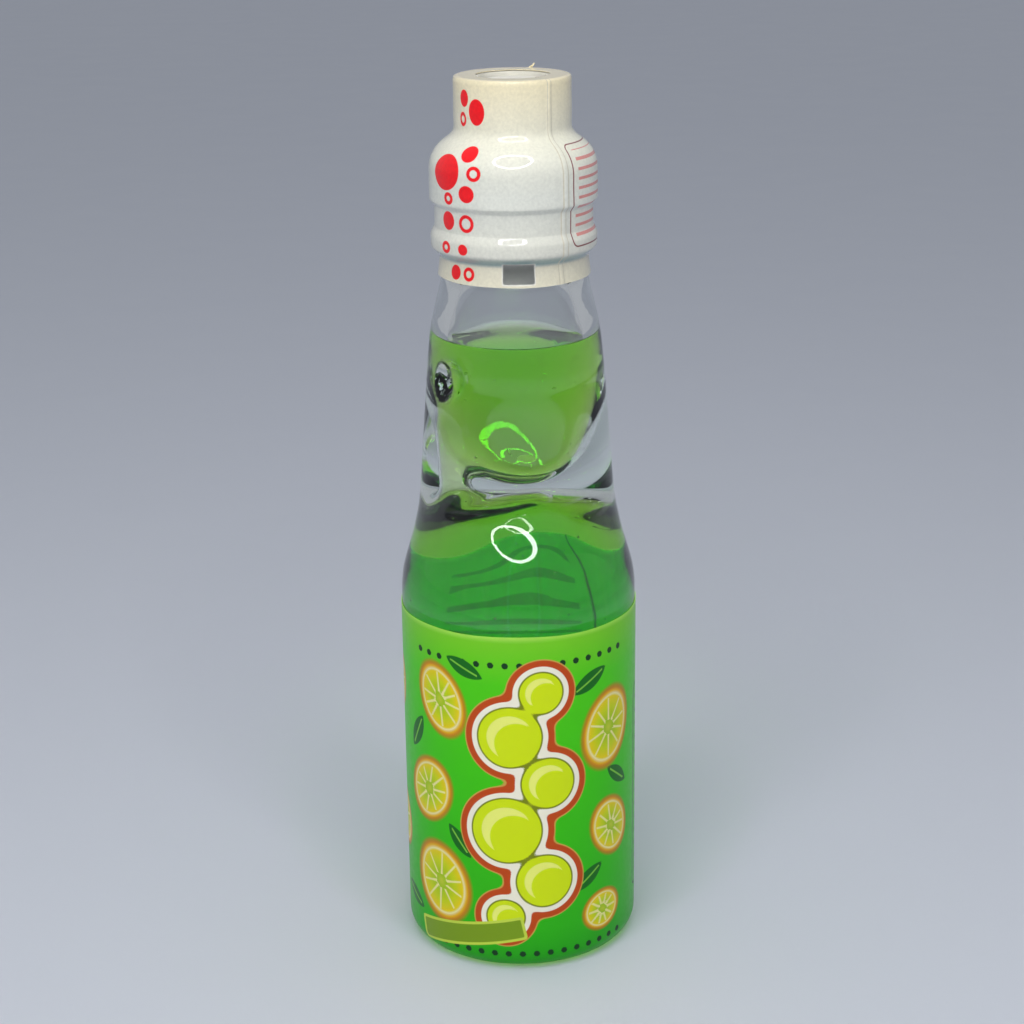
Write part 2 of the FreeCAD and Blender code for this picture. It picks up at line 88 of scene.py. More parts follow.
def linear(hex_code: str) -> tuple[float, float, float, float]:
    """Turns an sRGB colour to linear light.

    Args:
        hex_code: the colour, such as "#3AB507".

    Returns:
        Red, green, blue and an alpha of 1.
    """
    levels = [int(hex_code[start:start + 2], 16) / 255.0 for start in (1, 3, 5)]
    red, green, blue = (c / 12.92 if c <= 0.04045 else ((c + 0.055) / 1.055) ** 2.4 for c in levels)
    return red, green, blue, 1.0


def add_node(tree: bpy.types.NodeTree, kind: str, inputs: dict | None = None, **settings) -> bpy.types.Node:
    """Adds a node with its settings, constants and links.

    Args:
        tree: the node tree that takes the node.
        kind: the node's type.
        inputs: a constant, or a socket to link from, for each input by name or index.
        **settings: the node's own properties.

    Returns:
        The new node.
    """
    node = tree.nodes.new(kind)
    for name, setting in settings.items():
        setattr(node, name, setting)
    for key, given in (inputs or {}).items():
        if isinstance(given, bpy.types.NodeSocket):
            tree.links.new(given, node.inputs[key])
        else:
            node.inputs[key].default_value = given
    return node


def new_material(name: str) -> tuple[bpy.types.Material, bpy.types.NodeTree, bpy.types.Node]:
    """Makes an empty node material.

    Args:
        name: the material's name.

    Returns:
        The material, its node tree and its output node.
    """
    material = bpy.data.materials.new(name)
    material.use_nodes = True
    tree = material.node_tree
    tree.nodes.clear()
    return material, tree, add_node(tree, "ShaderNodeOutputMaterial")


def noise(tree: bpy.types.NodeTree, coords: bpy.types.NodeSocket, grain_mm: float) -> bpy.types.NodeSocket:
    """Gives a smooth random pattern whose grains are about as wide as asked.

    Args:
        tree: the node tree.
        coords: object coordinates, in metres.
        grain_mm: width of a grain.

    Returns:
        The pattern, about 0 to 1.
    """
    inputs = {"Vector": coords, "Scale": 1.0 / (grain_mm * MM), "Detail": NOISE_DETAIL}
    return add_node(tree, "ShaderNodeTexNoise", inputs).outputs["Fac"]


@dataclass(frozen=True)
class ClearFinish:
    """A clear body with a polished skin that soaks up some colours in its depth."""

    name: str
    ior: float
    absorption: str = "#FFFFFF"
    density_per_m: float = 0.0
    ripple_mm: float = 1.0
    ripple_depth_mm: float = 0.0
    roughness: float = 0.0
    lets_lamps_through: bool = True

    def material(self) -> bpy.types.Material:
        """Builds the material.

        Returns:
            The material.
        """
        material, tree, output = new_material(self.name)
        coords = add_node(tree, "ShaderNodeTexCoord").outputs["Object"]
        ripple = add_node(tree, "ShaderNodeBump", {
            "Height": noise(tree, coords, self.ripple_mm),
            "Distance": self.ripple_depth_mm * MM,
        })
        skin = add_node(tree, "ShaderNodeBsdfPrincipled", {
            "Base Color": linear("#FFFFFF"),
            "Roughness": self.roughness,
            "IOR": self.ior,
            "Transmission Weight": 1.0,
            "Normal": ripple.outputs["Normal"],
        })
        surface = skin.outputs["BSDF"]
        if self.lets_lamps_through:
            open_way = add_node(tree, "ShaderNodeBsdfTransparent").outputs["BSDF"]
            ray = add_node(tree, "ShaderNodeLightPath").outputs["Is Shadow Ray"]
            mixed = add_node(tree, "ShaderNodeMixShader", {0: ray, 1: surface, 2: open_way})
            surface = mixed.outputs["Shader"]
        tree.links.new(surface, output.inputs["Surface"])
        if self.density_per_m:
            depth = add_node(tree, "ShaderNodeVolumeAbsorption", {
                "Color": linear(self.absorption),
                "Density": self.density_per_m,
            })
            tree.links.new(depth.outputs["Volume"], output.inputs["Volume"])
        return material


@dataclass(frozen=True)
class SolidFinish:
    """An opaque body: one colour that drifts a little, with a fine grain that breaks its gloss."""

    name: str
    colour: str
    shade: str
    roughness: float
    drift_mm: float
    grain_mm: float
    grain_depth_mm: float
    roughness_spread: float = 0.12

    def material(self) -> bpy.types.Material:
        """Builds the material.

        Returns:
            The material.
        """
        material, tree, output = new_material(self.name)
        coords = add_node(tree, "ShaderNodeTexCoord").outputs["Object"]
        drift = noise(tree, coords, self.drift_mm)
        colour = add_node(tree, "ShaderNodeMix", {
            MIX_FACTOR: drift,
            MIX_A: linear(self.colour),
            MIX_B: linear(self.shade),
        }, data_type="RGBA")
        gloss = add_node(tree, "ShaderNodeMapRange", {
            "Value": drift,
            "To Min": self.roughness - self.roughness_spread,
            "To Max": self.roughness + self.roughness_spread,
        })
        grain = add_node(tree, "ShaderNodeBump", {
            "Height": noise(tree, coords, self.grain_mm),
            "Distance": self.grain_depth_mm * MM,
        })
        skin = add_node(tree, "ShaderNodeBsdfPrincipled", {
            "Base Color": colour.outputs[MIX_RESULT],
            "Roughness": gloss.outputs["Result"],
            "Normal": grain.outputs["Normal"],
        })
        tree.links.new(skin.outputs["BSDF"], output.inputs["Surface"])
        return material


@dataclass(frozen=True)
class Ink:
    """One printed colour: it covers the film where an attribute of the print is below an edge.

    An outline covers both sides of the attribute's zero. A ruled ink is broken into level lines.
    A shaded ink takes its colour from the attribute, by stops from 0 to 1.
    """

    attribute: str
    edge: float
    colour: str = "#000000"
    outline: bool = False
    ruled_mm: float = 0.0
    stops: Stops = ()


@dataclass(frozen=True)
class PrintedFilm:
    """Glossy shrink film: a shaded ground colour, sharp printed inks, a faint orange peel, and painted
    glints that lift and dim the colour with the peel.
    """

    name: str
    ground: Stops
    inks: tuple[Ink, ...]
    roughness: float
    peel_mm: float
    peel_depth_mm: float
    coat: float
    coat_roughness: float = 0.05
    specular: float = 0.12
    ior: float = 1.54
    gloss_spread: float = 0.3
    lamp_share: float = 0.0
    lamp_tint: str = "#FFFFFF"
    clear_attribute: str = ""
    # Painted glints: how far the colour lifts and dims with the orange peel
    glint_mottle: float = 0.0
    ink_blur: float = 0.08
    rule_weight: float = 0.32

    def material(self, low_mm: float, high_mm: float) -> bpy.types.Material:
        """Builds the material.

        Args:
            low_mm: height where the ground's stops start.
            high_mm: height where they end.

        Returns:
            The material.
        """
        material, tree, output = new_material(self.name)
        coords = add_node(tree, "ShaderNodeTexCoord").outputs["Object"]
        height = add_node(tree, "ShaderNodeSeparateXYZ", {0: coords}).outputs["Z"]
        rise = add_node(tree, "ShaderNodeMapRange", {
            "Value": height,
            "From Min": low_mm * MM,
            "From Max": high_mm * MM,
        })
        colour = self.shaded(tree, rise.outputs["Result"], self.ground)
        for ink in self.inks:
            colour = self.printed(tree, colour, ink, height)
        peel = noise(tree, coords, self.peel_mm)
        # Painted glints: the colour lifts and dims a little with the orange peel's bumps
        shade = add_node(tree, "ShaderNodeMapRange", {
            "Value": peel,
            "From Min": NOISE_LOW,
            "From Max": NOISE_HIGH,
            "To Min": 1.0 - self.glint_mottle,
            "To Max": 1.0 + self.glint_mottle,
        })
        colour = add_node(tree, "ShaderNodeVectorMath", {
            0: colour,
            "Scale": shade.outputs["Result"],
        }, operation="SCALE").outputs["Vector"]
        bump = add_node(tree, "ShaderNodeBump", {"Height": peel, "Distance": self.peel_depth_mm * MM})
        gloss = add_node(tree, "ShaderNodeMapRange", {
            "Value": peel,
            "To Min": self.roughness * (1.0 - self.gloss_spread),
            "To Max": self.roughness * (1.0 + self.gloss_spread),
        })
        skin = add_node(tree, "ShaderNodeBsdfPrincipled", {
            "Base Color": colour,
            "Roughness": gloss.outputs["Result"],
            "IOR": self.ior,
            "Specular IOR Level": self.specular,
            "Coat Weight": self.coat,
            "Coat Roughness": self.coat_roughness,
            "Normal": bump.outputs["Normal"],
        })
        if self.clear_attribute:
            bare = self.mask(tree, Ink(self.clear_attribute, 0.0), height)
            tree.links.new(bare, skin.inputs["Transmission Weight"])
        ray = add_node(tree, "ShaderNodeLightPath").outputs["Is Shadow Ray"]
        share = add_node(tree, "ShaderNodeMath", {0: ray, 1: self.lamp_share}, operation="MULTIPLY")
        glow = add_node(tree, "ShaderNodeBsdfTransparent", {"Color": linear(self.lamp_tint)})
        surface = add_node(tree, "ShaderNodeMixShader", {
            0: share.outputs["Value"],
            1: skin.outputs["BSDF"],
            2: glow.outputs["BSDF"],
        })
        tree.links.new(surface.outputs["Shader"], output.inputs["Surface"])
        return material

    @staticmethod
    def shaded(
        tree: bpy.types.NodeTree, factor: bpy.types.NodeSocket, stops: Stops
    ) -> bpy.types.NodeSocket:
        """Shades between colour stops.

        Args:
            tree: the node tree.
            factor: where to read, 0 to 1.
            stops: places and colours, in order.

        Returns:
            The colour.
        """
        ramp = add_node(tree, "ShaderNodeValToRGB", {"Fac": factor})
        elements = ramp.color_ramp.elements
        for _ in stops[2:]:
            elements.new(1.0)
        for element, (place, colour) in zip(elements, stops):
            element.position = place
            element.color = linear(colour)
        return ramp.outputs["Color"]

    def mask(
        self, tree: bpy.types.NodeTree, ink: Ink, height: bpy.types.NodeSocket
    ) -> bpy.types.NodeSocket:
        """Finds where an ink lies.

        Args:
            tree: the node tree.
            ink: the ink.
            height: height above the base, in metres.

        Returns:
            1 on the ink and 0 off it.
        """
        reach = add_node(tree, "ShaderNodeAttribute", attribute_name=ink.attribute).outputs["Fac"]
        if ink.outline:
            reach = add_node(tree, "ShaderNodeMath", {0: reach}, operation="ABSOLUTE").outputs["Value"]
        inside = add_node(tree, "ShaderNodeMapRange", {
            "Value": reach,
            "From Min": ink.edge + self.ink_blur,
            "From Max": ink.edge - self.ink_blur,
        }).outputs["Result"]
        if not ink.ruled_mm:
            return inside
        half_pitch = ink.ruled_mm * MM / 2.0
        wave = add_node(tree, "ShaderNodeMath", {0: height, 1: half_pitch}, operation="PINGPONG")
        line = add_node(tree, "ShaderNodeMath", {
            0: wave.outputs["Value"],
            1: half_pitch * self.rule_weight,
        }, operation="LESS_THAN")
        both = add_node(tree, "ShaderNodeMath", {0: inside, 1: line.outputs["Value"]}, operation="MULTIPLY")
        return both.outputs["Value"]

    def printed(
        self, tree: bpy.types.NodeTree, under: bpy.types.NodeSocket, ink: Ink, height: bpy.types.NodeSocket
    ) -> bpy.types.NodeSocket:
        """Prints one ink over what is there.

        Args:
            tree: the node tree.
            under: the colour so far.
            ink: the ink.
            height: height above the base, in metres.

        Returns:
            The colour with the ink on it.
        """
        over = linear(ink.colour)
        if ink.stops:
            place = add_node(tree, "ShaderNodeAttribute", attribute_name=ink.attribute).outputs["Fac"]
            over = self.shaded(tree, place, ink.stops)
        inputs = {MIX_FACTOR: self.mask(tree, ink, height), MIX_A: under, MIX_B: over}
        return add_node(tree, "ShaderNodeMix", inputs, data_type="RGBA").outputs[MIX_RESULT]


# Flint glass, pressed and blown: clear and bright, faintly green along its edges, with a soft ripple
FLINT_GLASS = ClearFinish(
    "flint_glass", ior=1.52, absorption="#B4E4CE", density_per_m=6.0, ripple_mm=14.0, ripple_depth_mm=0.012
)
# Lime soda: yellow-green where it is thin and deep green where light passes far through it
LIME_SODA = ClearFinish(
    "lime_soda", ior=1.34, absorption="#DAFC2A", density_per_m=135.0, ripple_mm=20.0, ripple_depth_mm=0.004
)
# Marble glass: clear pale aqua, with shallow scuffs from rolling in the neck
MARBLE_GLASS = ClearFinish(
    "marble_glass", ior=1.52, absorption="#A9DCD6", density_per_m=14.0, ripple_mm=3.0, ripple_depth_mm=0.01
)
# Gas bubbles: the drink's own skin seen from inside, so they read as bright beads
FIZZ_GAS = ClearFinish("fizz_gas", ior=0.75, lets_lamps_through=False)
# Moulded polyethylene: milky white with a satin skin and a fine mould grain
OPENER_PLASTIC = SolidFinish(
    "white_polyethylene", colour="#E6E3D8", shade="#D8D5C9", roughness=0.36, drift_mm=7.0, grain_mm=0.5,
    grain_depth_mm=0.006,
)
# Moulded polypropylene: a cooler white, a little glossier
CAP_PLASTIC = SolidFinish(
    "white_polypropylene", colour="#ECEDE9", shade="#DADCD8", roughness=0.3, drift_mm=9.0, grain_mm=0.7,
    grain_depth_mm=0.005,
)
# Silicone rubber: soft grey-white and dull
GASKET_RUBBER = SolidFinish(
    "silicone_rubber", colour="#C9C8C1", shade="#B7B6AF", roughness=0.62, drift_mm=3.0, grain_mm=0.4,
    grain_depth_mm=0.01,
)
# Matt backdrop paper: one pale cool grey with an uneven tooth
FLOOR_PAPER = SolidFinish(
    "floor_paper", colour="#CFD3DC", shade="#CFD3DC", roughness=0.6, drift_mm=40.0, grain_mm=2.0,
    grain_depth_mm=0.01,
)


@dataclass(frozen=True)
class Corner:
    """A corner of a turned outline and the radius that rounds it, in millimetres."""

    radius: float
    height: float
    rounding: float = 0.0


def rounded_line(corners: Sequence[Corner], step: float) -> np.ndarray:
    """Draws an open outline with its corners rounded by arcs.

    Args:
        corners: the corners in order; the first and last stay sharp.
        step: longest distance between two points.

    Returns:
        Rows of radius and height.
    """
    spots = np.array([(corner.radius, corner.height) for corner in corners])
    trail = [spots[0]]
    for before, corner, spot, after in zip(spots, corners[1:-1], spots[1:], spots[2:]):
        if not corner.rounding:
            trail.append(spot)
            continue
        back = (before - spot) / np.linalg.norm(before - spot)
        ahead = (after - spot) / np.linalg.norm(after - spot)
        half = math.acos(float(back @ ahead)) / 2.0
        middle = (back + ahead) / np.linalg.norm(back + ahead)
        centre = spot + middle * (corner.rounding / math.sin(half))
        first = spot + back * (corner.rounding / math.tan(half)) - centre
        last = spot + ahead * (corner.rounding / math.tan(half)) - centre
        sweep = math.atan2(first[0] * last[1] - first[1] * last[0], float(first @ last))
        for turn in np.linspace(0.0, sweep, 2 + int(abs(sweep) * corner.rounding / step)):
            cos, sin = math.cos(turn), math.sin(turn)
            trail.append(centre + (first[0] * cos - first[1] * sin, first[0] * sin + first[1] * cos))
    trail.append(spots[-1])
    runs = []
    for start, end in zip(trail, trail[1:]):
        count = max(1, math.ceil(np.linalg.norm(end - start) / step))
        runs.append(start + (end - start) * np.arange(count)[:, None] / count)
    return np.vstack((*runs, trail[-1]))


@dataclass
class Skin:
    """Points and faces of a mesh."""

    points: np.ndarray
    faces: list[tuple[int, ...]]

    def joined(self, other: "Skin") -> "Skin":
        """Puts two skins side by side in one.

        Args:
            other: the skin that comes after this one.

        Returns:
            The two as one skin.
        """
        shift = len(self.points)
        moved = [tuple(index + shift for index in face) for face in other.faces]
        return Skin(np.vstack((self.points, other.points)), self.faces + moved)

    def mesh(self, name: str) -> bpy.types.Mesh:
        """Makes a mesh of the skin, in the units of its points.

        Args:
            name: the mesh's name.

        Returns:
            The mesh.
        """
        mesh = bpy.data.meshes.new(name)
        mesh.from_pydata(self.points.tolist(), [], self.faces)
        return mesh

    def add_to(self, target: bmesh.types.BMesh) -> bmesh.types.BMesh:
        """Adds the skin to a mesh under construction.

        Args:
            target: the mesh that takes it.

        Returns:
            The same mesh.
        """
        scratch = self.mesh("scratch")
        target.from_mesh(scratch)
        bpy.data.meshes.remove(scratch)
        return target


def turned(section: np.ndarray, segments: int, closed: bool = False, bend: Bend | None = None) -> Skin:
    """Turns an outline about the Z axis.

    Args:
        section: rows of radius and height.
        segments: steps round the axis.
        closed: whether the outline's end joins its start.
        bend: changes the radii and heights, given angles, radii and heights.

    Returns:
        The skin, with quads between the rows.
    """
    rows = len(section)
    angle = np.broadcast_to(np.linspace(0.0, FULL_TURN, segments, endpoint=False), (rows, segments))
    radius = np.repeat(section[:, :1], segments, 1)
    height = np.repeat(section[:, 1:], segments, 1)
    if bend:
        radius, height = bend(angle, radius, height)
    points = np.stack((radius * np.cos(angle), radius * np.sin(angle), height), -1).reshape(-1, 3)
    low = np.arange(rows if closed else rows - 1)[:, None] * segments
    high = (low + segments) % (rows * segments)
    here = np.arange(segments)
    after = (here + 1) % segments
    faces = np.stack((low + here, low + after, high + after, high + here), -1).reshape(-1, 4)
    return Skin(points, [tuple(face) for face in faces.tolist()])


def mesh_points(mesh: bpy.types.Mesh) -> np.ndarray:
    """Reads the points of a mesh.

    Args:
        mesh: the mesh.

    Returns:
        A row of three for each point.
    """
    flat = np.empty(len(mesh.vertices) * 3)
    mesh.vertices.foreach_get("co", flat)
    return flat.reshape(-1, 3)


def centred(values: np.ndarray, span: float) -> np.ndarray:
    """Brings values that repeat every span to within half a span of zero."""
    return (values + span / 2.0) % span - span / 2.0


def smooth_min(first: np.ndarray, second: np.ndarray, width: float) -> np.ndarray:
    """The smaller of two fields, with the crease between them rounded over a width."""
    overlap = np.maximum(width - np.abs(first - second), 0.0) / width
    return np.minimum(first, second) - overlap ** 2 * width / 4.0


def nearest(distances: Iterable[np.ndarray]) -> np.ndarray:
    """The smallest of several distances at each point."""
    return np.min(list(distances), axis=0)


def nearest_zero(distances: Iterable[np.ndarray]) -> np.ndarray:
    """The distance that comes closest to zero at each point, with its sign."""
    stack = np.array(list(distances))
    return np.take_along_axis(stack, np.abs(stack).argmin(0)[None], 0)[0]


class TurnedField:
    """Signed distance to a turned solid, negative inside, read from a table of radius and height."""

    # Room that the table leaves round the outline
    MARGIN = 6.0
    # Cells that a reading keeps from the table's far edge
    EDGE = 1.001

    def __init__(self, section: np.ndarray, cell: float) -> None:
        """Fills the table.

        Args:
            section: the outline, from the axis to the axis.
            cell: spacing of the table.
        """
        self.cell = cell
        self.low = np.array((0.0, section[:, 1].min() - self.MARGIN))
        high = section.max(0) + self.MARGIN
        radii, heights = (np.arange(a, b, cell) for a, b in zip(self.low, high))
        spots = np.stack(np.meshgrid(radii, heights, indexing="ij"), -1).reshape(-1, 2)
        closest = np.full(len(spots), np.inf)
        inside = np.zeros(len(spots), bool)
        for start, end in zip(section, section[1:]):
            run = end - start
            offset = spots - start
            along = np.clip(offset @ run / (run @ run), 0.0, 1.0)
            closest = np.minimum(closest, ((offset - along[:, None] * run) ** 2).sum(1))
            crosses = (start[1] > spots[:, 1]) != (end[1] > spots[:, 1])
            if crosses.any():
                inside ^= crosses & (spots[:, 0] < start[0] + offset[:, 1] / run[1] * run[0])
        signed = np.where(inside, -1.0, 1.0) * np.sqrt(closest)
        self.table = signed.reshape(len(radii), len(heights))

    def __call__(self, points: np.ndarray) -> np.ndarray:
        """Reads the distance between the table's cells.

        Args:
            points: places in the frame.

        Returns:
            The distance at each, in millimetres.
        """
        spots = np.column_stack((np.hypot(points[:, 0], points[:, 1]), points[:, 2]))
        place = np.clip((spots - self.low) / self.cell, 0.0, np.array(self.table.shape) - self.EDGE)
        row, column = place.astype(int).T
        down, right = (place - place.astype(int)).T
        near = self.table[row, column] * (1.0 - down) + self.table[row + 1, column] * down
        far = self.table[row, column + 1] * (1.0 - down) + self.table[row + 1, column + 1] * down
        return near * (1.0 - right) + far * right


def slope(where: Field, points: np.ndarray, nudge: float = 0.2) -> np.ndarray:
    """The gradient of a field at each point."""
    steps = np.eye(3) * nudge
    return np.stack([(where(points + step) - where(points - step)) / (2.0 * nudge) for step in steps], -1)


def settle(where: Field, points: np.ndarray, rounds: int = 4, flat: float = 0.05) -> np.ndarray:
    """Moves points onto a field's zero surface, by Newton steps along its gradient.

    Args:
        where: the field.
        points: the points.
        rounds: how many steps they take.
        flat: least squared slope that a step divides by, so that it never jumps.

    Returns:
        The points where they came to lie.
    """
    for _ in range(rounds):
        way = slope(where, points)
        length = np.maximum((way ** 2).sum(1), flat)
        points = points - way * (where(points) / length)[:, None]
    return points


def link_object(name: str, data: bpy.types.ID) -> bpy.types.Object:
    """Puts a new object in the scene.

    Args:
        name: the object's name.
        data: its mesh, lamp or camera.

    Returns:
        The object.
    """
    made = bpy.data.objects.new(name, data)
    bpy.context.scene.collection.objects.link(made)
    return made


def place_piece(
    name: str, mesh: bpy.types.Mesh, material: bpy.types.Material, body: Body, slot: Slot, *nodes: str
) -> None:
    """Links a finished mesh as a piece of the object.

    Args:
        name: the piece's name.
        mesh: the mesh, in millimetres.
        material: its finish.
        body: the body that it rides on.
        slot: the record's slot for its finish; not used.
        *nodes: CAD nodes that it stands for.
    """
    mesh.transform(Matrix.Scale(MM, 4))
    mesh.polygons.foreach_set("use_smooth", [True] * len(mesh.polygons))
    mesh.set_sharp_from_angle(angle=SHARP_ANGLE)
    mesh.materials.append(material)
    piece = link_object(name, mesh)
    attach(piece, body.value)
    if nodes:
        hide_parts(*nodes)
    LOG.info("%s: %d faces on %s", name, len(mesh.polygons), body.value)


def closed_mesh(name: str, mesh: bmesh.types.BMesh) -> bpy.types.Mesh:
    """Welds a mesh under construction, turns its faces outwards and hands it over.

    Args:
        name: name of the finished mesh.
        mesh: the mesh under construction, which is used up.

    Returns:
        The finished mesh, in the same units.
    """
    bmesh.ops.remove_doubles(mesh, verts=mesh.verts, dist=WELD_GAP)
    bmesh.ops.recalc_face_normals(mesh, faces=mesh.faces)
    made = bpy.data.meshes.new(name)
    mesh.to_mesh(made)
    mesh.free()
    return made


@dataclass
class GlassBottle:
    """The bottle's glass, with two pinch dents, a marble chamber, a passage and two catching dimples."""

    body_radius: float = 28.0
    body_wall: float = 3.6
    body_height: float = 93.1
    body_blend: float = 28.0
    heel_radius: float = 4.5
    stand_width: float = 3.0
    push_up: float = 3.2
    push_round: float = 2.0
    base_thick: float = 5.2
    floor_round: float = 7.0
    waist: Corner = Corner(23.65, 107.6, 70.0)
    throat: Corner = Corner(19.76, 153.4, 70.0)
    neck: Corner = Corner(16.6, 165.5, 28.0)
    bead_low: Corner = Corner(18.7, 171.2, 2.0)
    bead_height: float = 5.0
    finish: Corner = Corner(14.6, 190.5, 0.8)
    lock_height: float = 184.0
    lock_half: float = 1.3
    lock_step: float = 0.9
    neck_bore: float = 9.2
    bore_end: float = 173.0
    bore_round: float = 14.0
    join_height: float = 186.0
    bowl: Corner = Corner(10.2, 118.5, 9.5)
    bulb: Corner = Corner(16.4, 142.5, 14.0)
    crown: Corner = Corner(15.6, 152.0, 20.0)
    vault_flat: Corner = Corner(8.0, 115.6, 18.0)
    vault_side: Corner = Corner(17.0, 111.5, 11.0)
    vault_foot: float = 90.5
    vault_foot_round: float = 22.0
    pinch_height: float = 115.5
    pinch_depth: float = 7.6
    pinch_fall: float = 9.0
    pinch_climb: float = 11.5
    pinch_width: float = 20.0
    pinch_turn: float = 15.0
    pinch_wall: float = 2.4
    wall_blend: float = 1.5
    port_radius: float = 2.5
    port_offset: float = 12.4
    port_low: float = 108.5
    port_high: float = 129.5
    port_blend: float = 4.0
    dimple_height: float = 143.7
    dimple_depth: float = 3.0
    dimple_reach: float = 5.2
    dimple_power: float = 1.5
    dimple_wall: float = 2.6
    dimple_spread: float = 27.0
    bump_radius: float = 3.8
    bump_blend: float = 1.6
    segments: int = 168
    step: float = 1.1
    voxel: float = 0.7
    even_rounds: int = 4
    cell: float = 0.25
    hollow_skin: Skin = field(init=False)
    chamber_field: TurnedField = field(init=False)
    vault_field: TurnedField = field(init=False)

    def outer_section(self) -> np.ndarray:
        """Draws the outside of the glass, from under the base over the rim and down into the bore.

        Returns:
            Rows of radius and height.
        """
        stand_in = self.body_radius - self.heel_radius - self.stand_width
        bead_top = self.bead_low.height + self.bead_height
        lock_out = self.finish.radius + self.lock_step
        flank = self.lock_half - self.lock_step
        return rounded_line([
            Corner(0.0, self.push_up),
            Corner(stand_in - self.push_up, self.push_up, self.push_round),
            Corner(stand_in, 0.0),
            Corner(self.body_radius, 0.0, self.heel_radius),
            Corner(self.body_radius, self.body_height, self.body_blend),
            self.waist,
            self.throat,
            self.neck,
            Corner(self.neck.radius, self.bead_low.height),
            self.bead_low,
            Corner(self.bead_low.radius, bead_top, self.bead_low.rounding),
            Corner(self.finish.radius, bead_top),
            Corner(self.finish.radius, self.lock_height - self.lock_half),
            Corner(lock_out, self.lock_height - flank),
            Corner(lock_out, self.lock_height + flank),
            Corner(self.finish.radius, self.lock_height + self.lock_half),
            self.finish,
            Corner(self.neck_bore, self.finish.height),
            Corner(self.neck_bore, self.join_height),
        ], self.step)

    def chamber_section(self) -> np.ndarray:
        """Draws the marble chamber, from its floor up through the bore.

        Returns:
            Rows of radius and height.
        """
        return rounded_line([
            Corner(0.0, self.bowl.height),
            self.bowl,
            self.bulb,
            self.crown,
            Corner(self.neck_bore, self.bore_end, self.bore_round),
            Corner(self.neck_bore, self.finish.height),
            Corner(0.0, self.finish.height),
        ], self.step / 2.0)

    def vault_section(self) -> np.ndarray:
        """Draws the hollow of the body, from its floor to the vault under the pinch.

        Returns:
            Rows of radius and height.
        """
        floor = self.push_up + self.base_thick
        side = self.body_radius - self.body_wall
        return rounded_line([
            Corner(0.0, floor),
            Corner(side, floor, self.floor_round),
            Corner(side, self.vault_foot, self.vault_foot_round),
            self.vault_side,
            self.vault_flat,
            Corner(0.0, self.vault_flat.height),
        ], self.step / 2.0)

    def port_place(self) -> np.ndarray:
        """Where the passage stands, across the axis."""
        turn = math.radians(180.0 + self.pinch_turn)
        return self.port_offset * np.array((math.cos(turn), math.sin(turn)))

    def dimple_turns(self) -> list[float]:
        """The angles of the two catching dimples about the axis."""
        return [math.radians(180.0 + self.pinch_turn + side * self.dimple_spread) for side in (1, -1)]

    def dented(
        self, angle: np.ndarray, radius: np.ndarray, height: np.ndarray
    ) -> tuple[np.ndarray, np.ndarray]:
        """Presses the pinch dents and the dimples into the turned outside.

        Args:
            angle: angle of each point about the axis.
            radius: its radius.
            height: its height.

        Returns:
            The new radii, and the heights as they were.
        """
        rise = height - self.pinch_height
        reach = np.where(rise > 0.0, rise / self.pinch_climb, rise / self.pinch_fall)
        ridge = math.exp(-(self.waist.radius / self.pinch_width) ** 2)
        side = np.cos(angle - math.radians(self.pinch_turn)) * self.waist.radius / self.pinch_width
        share = (np.exp(-side ** 2) - ridge) / (1.0 - ridge)
        pressed = radius - self.pinch_depth * np.exp(-reach ** 2) * share
        for turn in self.dimple_turns():
            away = centred(angle - turn, FULL_TURN) * radius
            gap = np.hypot(away, height - self.dimple_height) / self.dimple_reach
            bowl = np.maximum(1.0 - gap ** 2, 0.0) ** self.dimple_power
            pressed = pressed - self.dimple_depth * bowl
        return pressed, height

    def outside_radius(self, angle: np.ndarray, height: np.ndarray) -> np.ndarray:
        """Finds the dented outside, from the heel to the neck.

        Args:
            angle: angles about the axis.
            height: heights.

        Returns:
            The radius at each.
        """
        wall = self.outer_section()
        standing = (wall[:, 1] > self.heel_radius) & (wall[:, 1] < self.neck.height)
        wall = wall[standing & (wall[:, 0] > self.neck_bore)]
        return self.dented(angle, np.interp(height, wall[:, 1], wall[:, 0]), height)[0]

    def hollow(self, points: np.ndarray) -> np.ndarray:
        """Measures the hollow of the glass: rooms joined by the passage, within a least wall.

        Args:
            points: places in the frame.

        Returns:
            The signed distance to the hollow at each, negative inside it.
        """
        east, north = self.port_place()
        foot = np.clip(points[:, 2], self.port_low, self.port_high)
        offset = points - np.column_stack((np.full_like(foot, east), np.full_like(foot, north), foot))
        port = np.linalg.norm(offset, axis=1) - self.port_radius
        rooms = np.minimum(self.chamber_field(points), self.vault_field(points))
        inside = smooth_min(rooms, port, self.port_blend)
        ends = (self.waist, self.throat)
        wall = np.interp(self.dimple_height, [end.height for end in ends], [end.radius for end in ends])
        reach = wall - self.dimple_depth - self.dimple_wall + self.bump_radius
        for turn in self.dimple_turns():
            centre = np.array((reach * math.cos(turn), reach * math.sin(turn), self.dimple_height))
            bump = np.linalg.norm(points - centre, axis=1) - self.bump_radius
            inside = -smooth_min(-inside, bump, self.bump_blend)
        skin = self.outside_radius(np.arctan2(points[:, 1], points[:, 0]), points[:, 2])
        close = np.hypot(points[:, 0], points[:, 1]) - skin + self.pinch_wall
        return -smooth_min(-inside, -close, self.wall_blend)

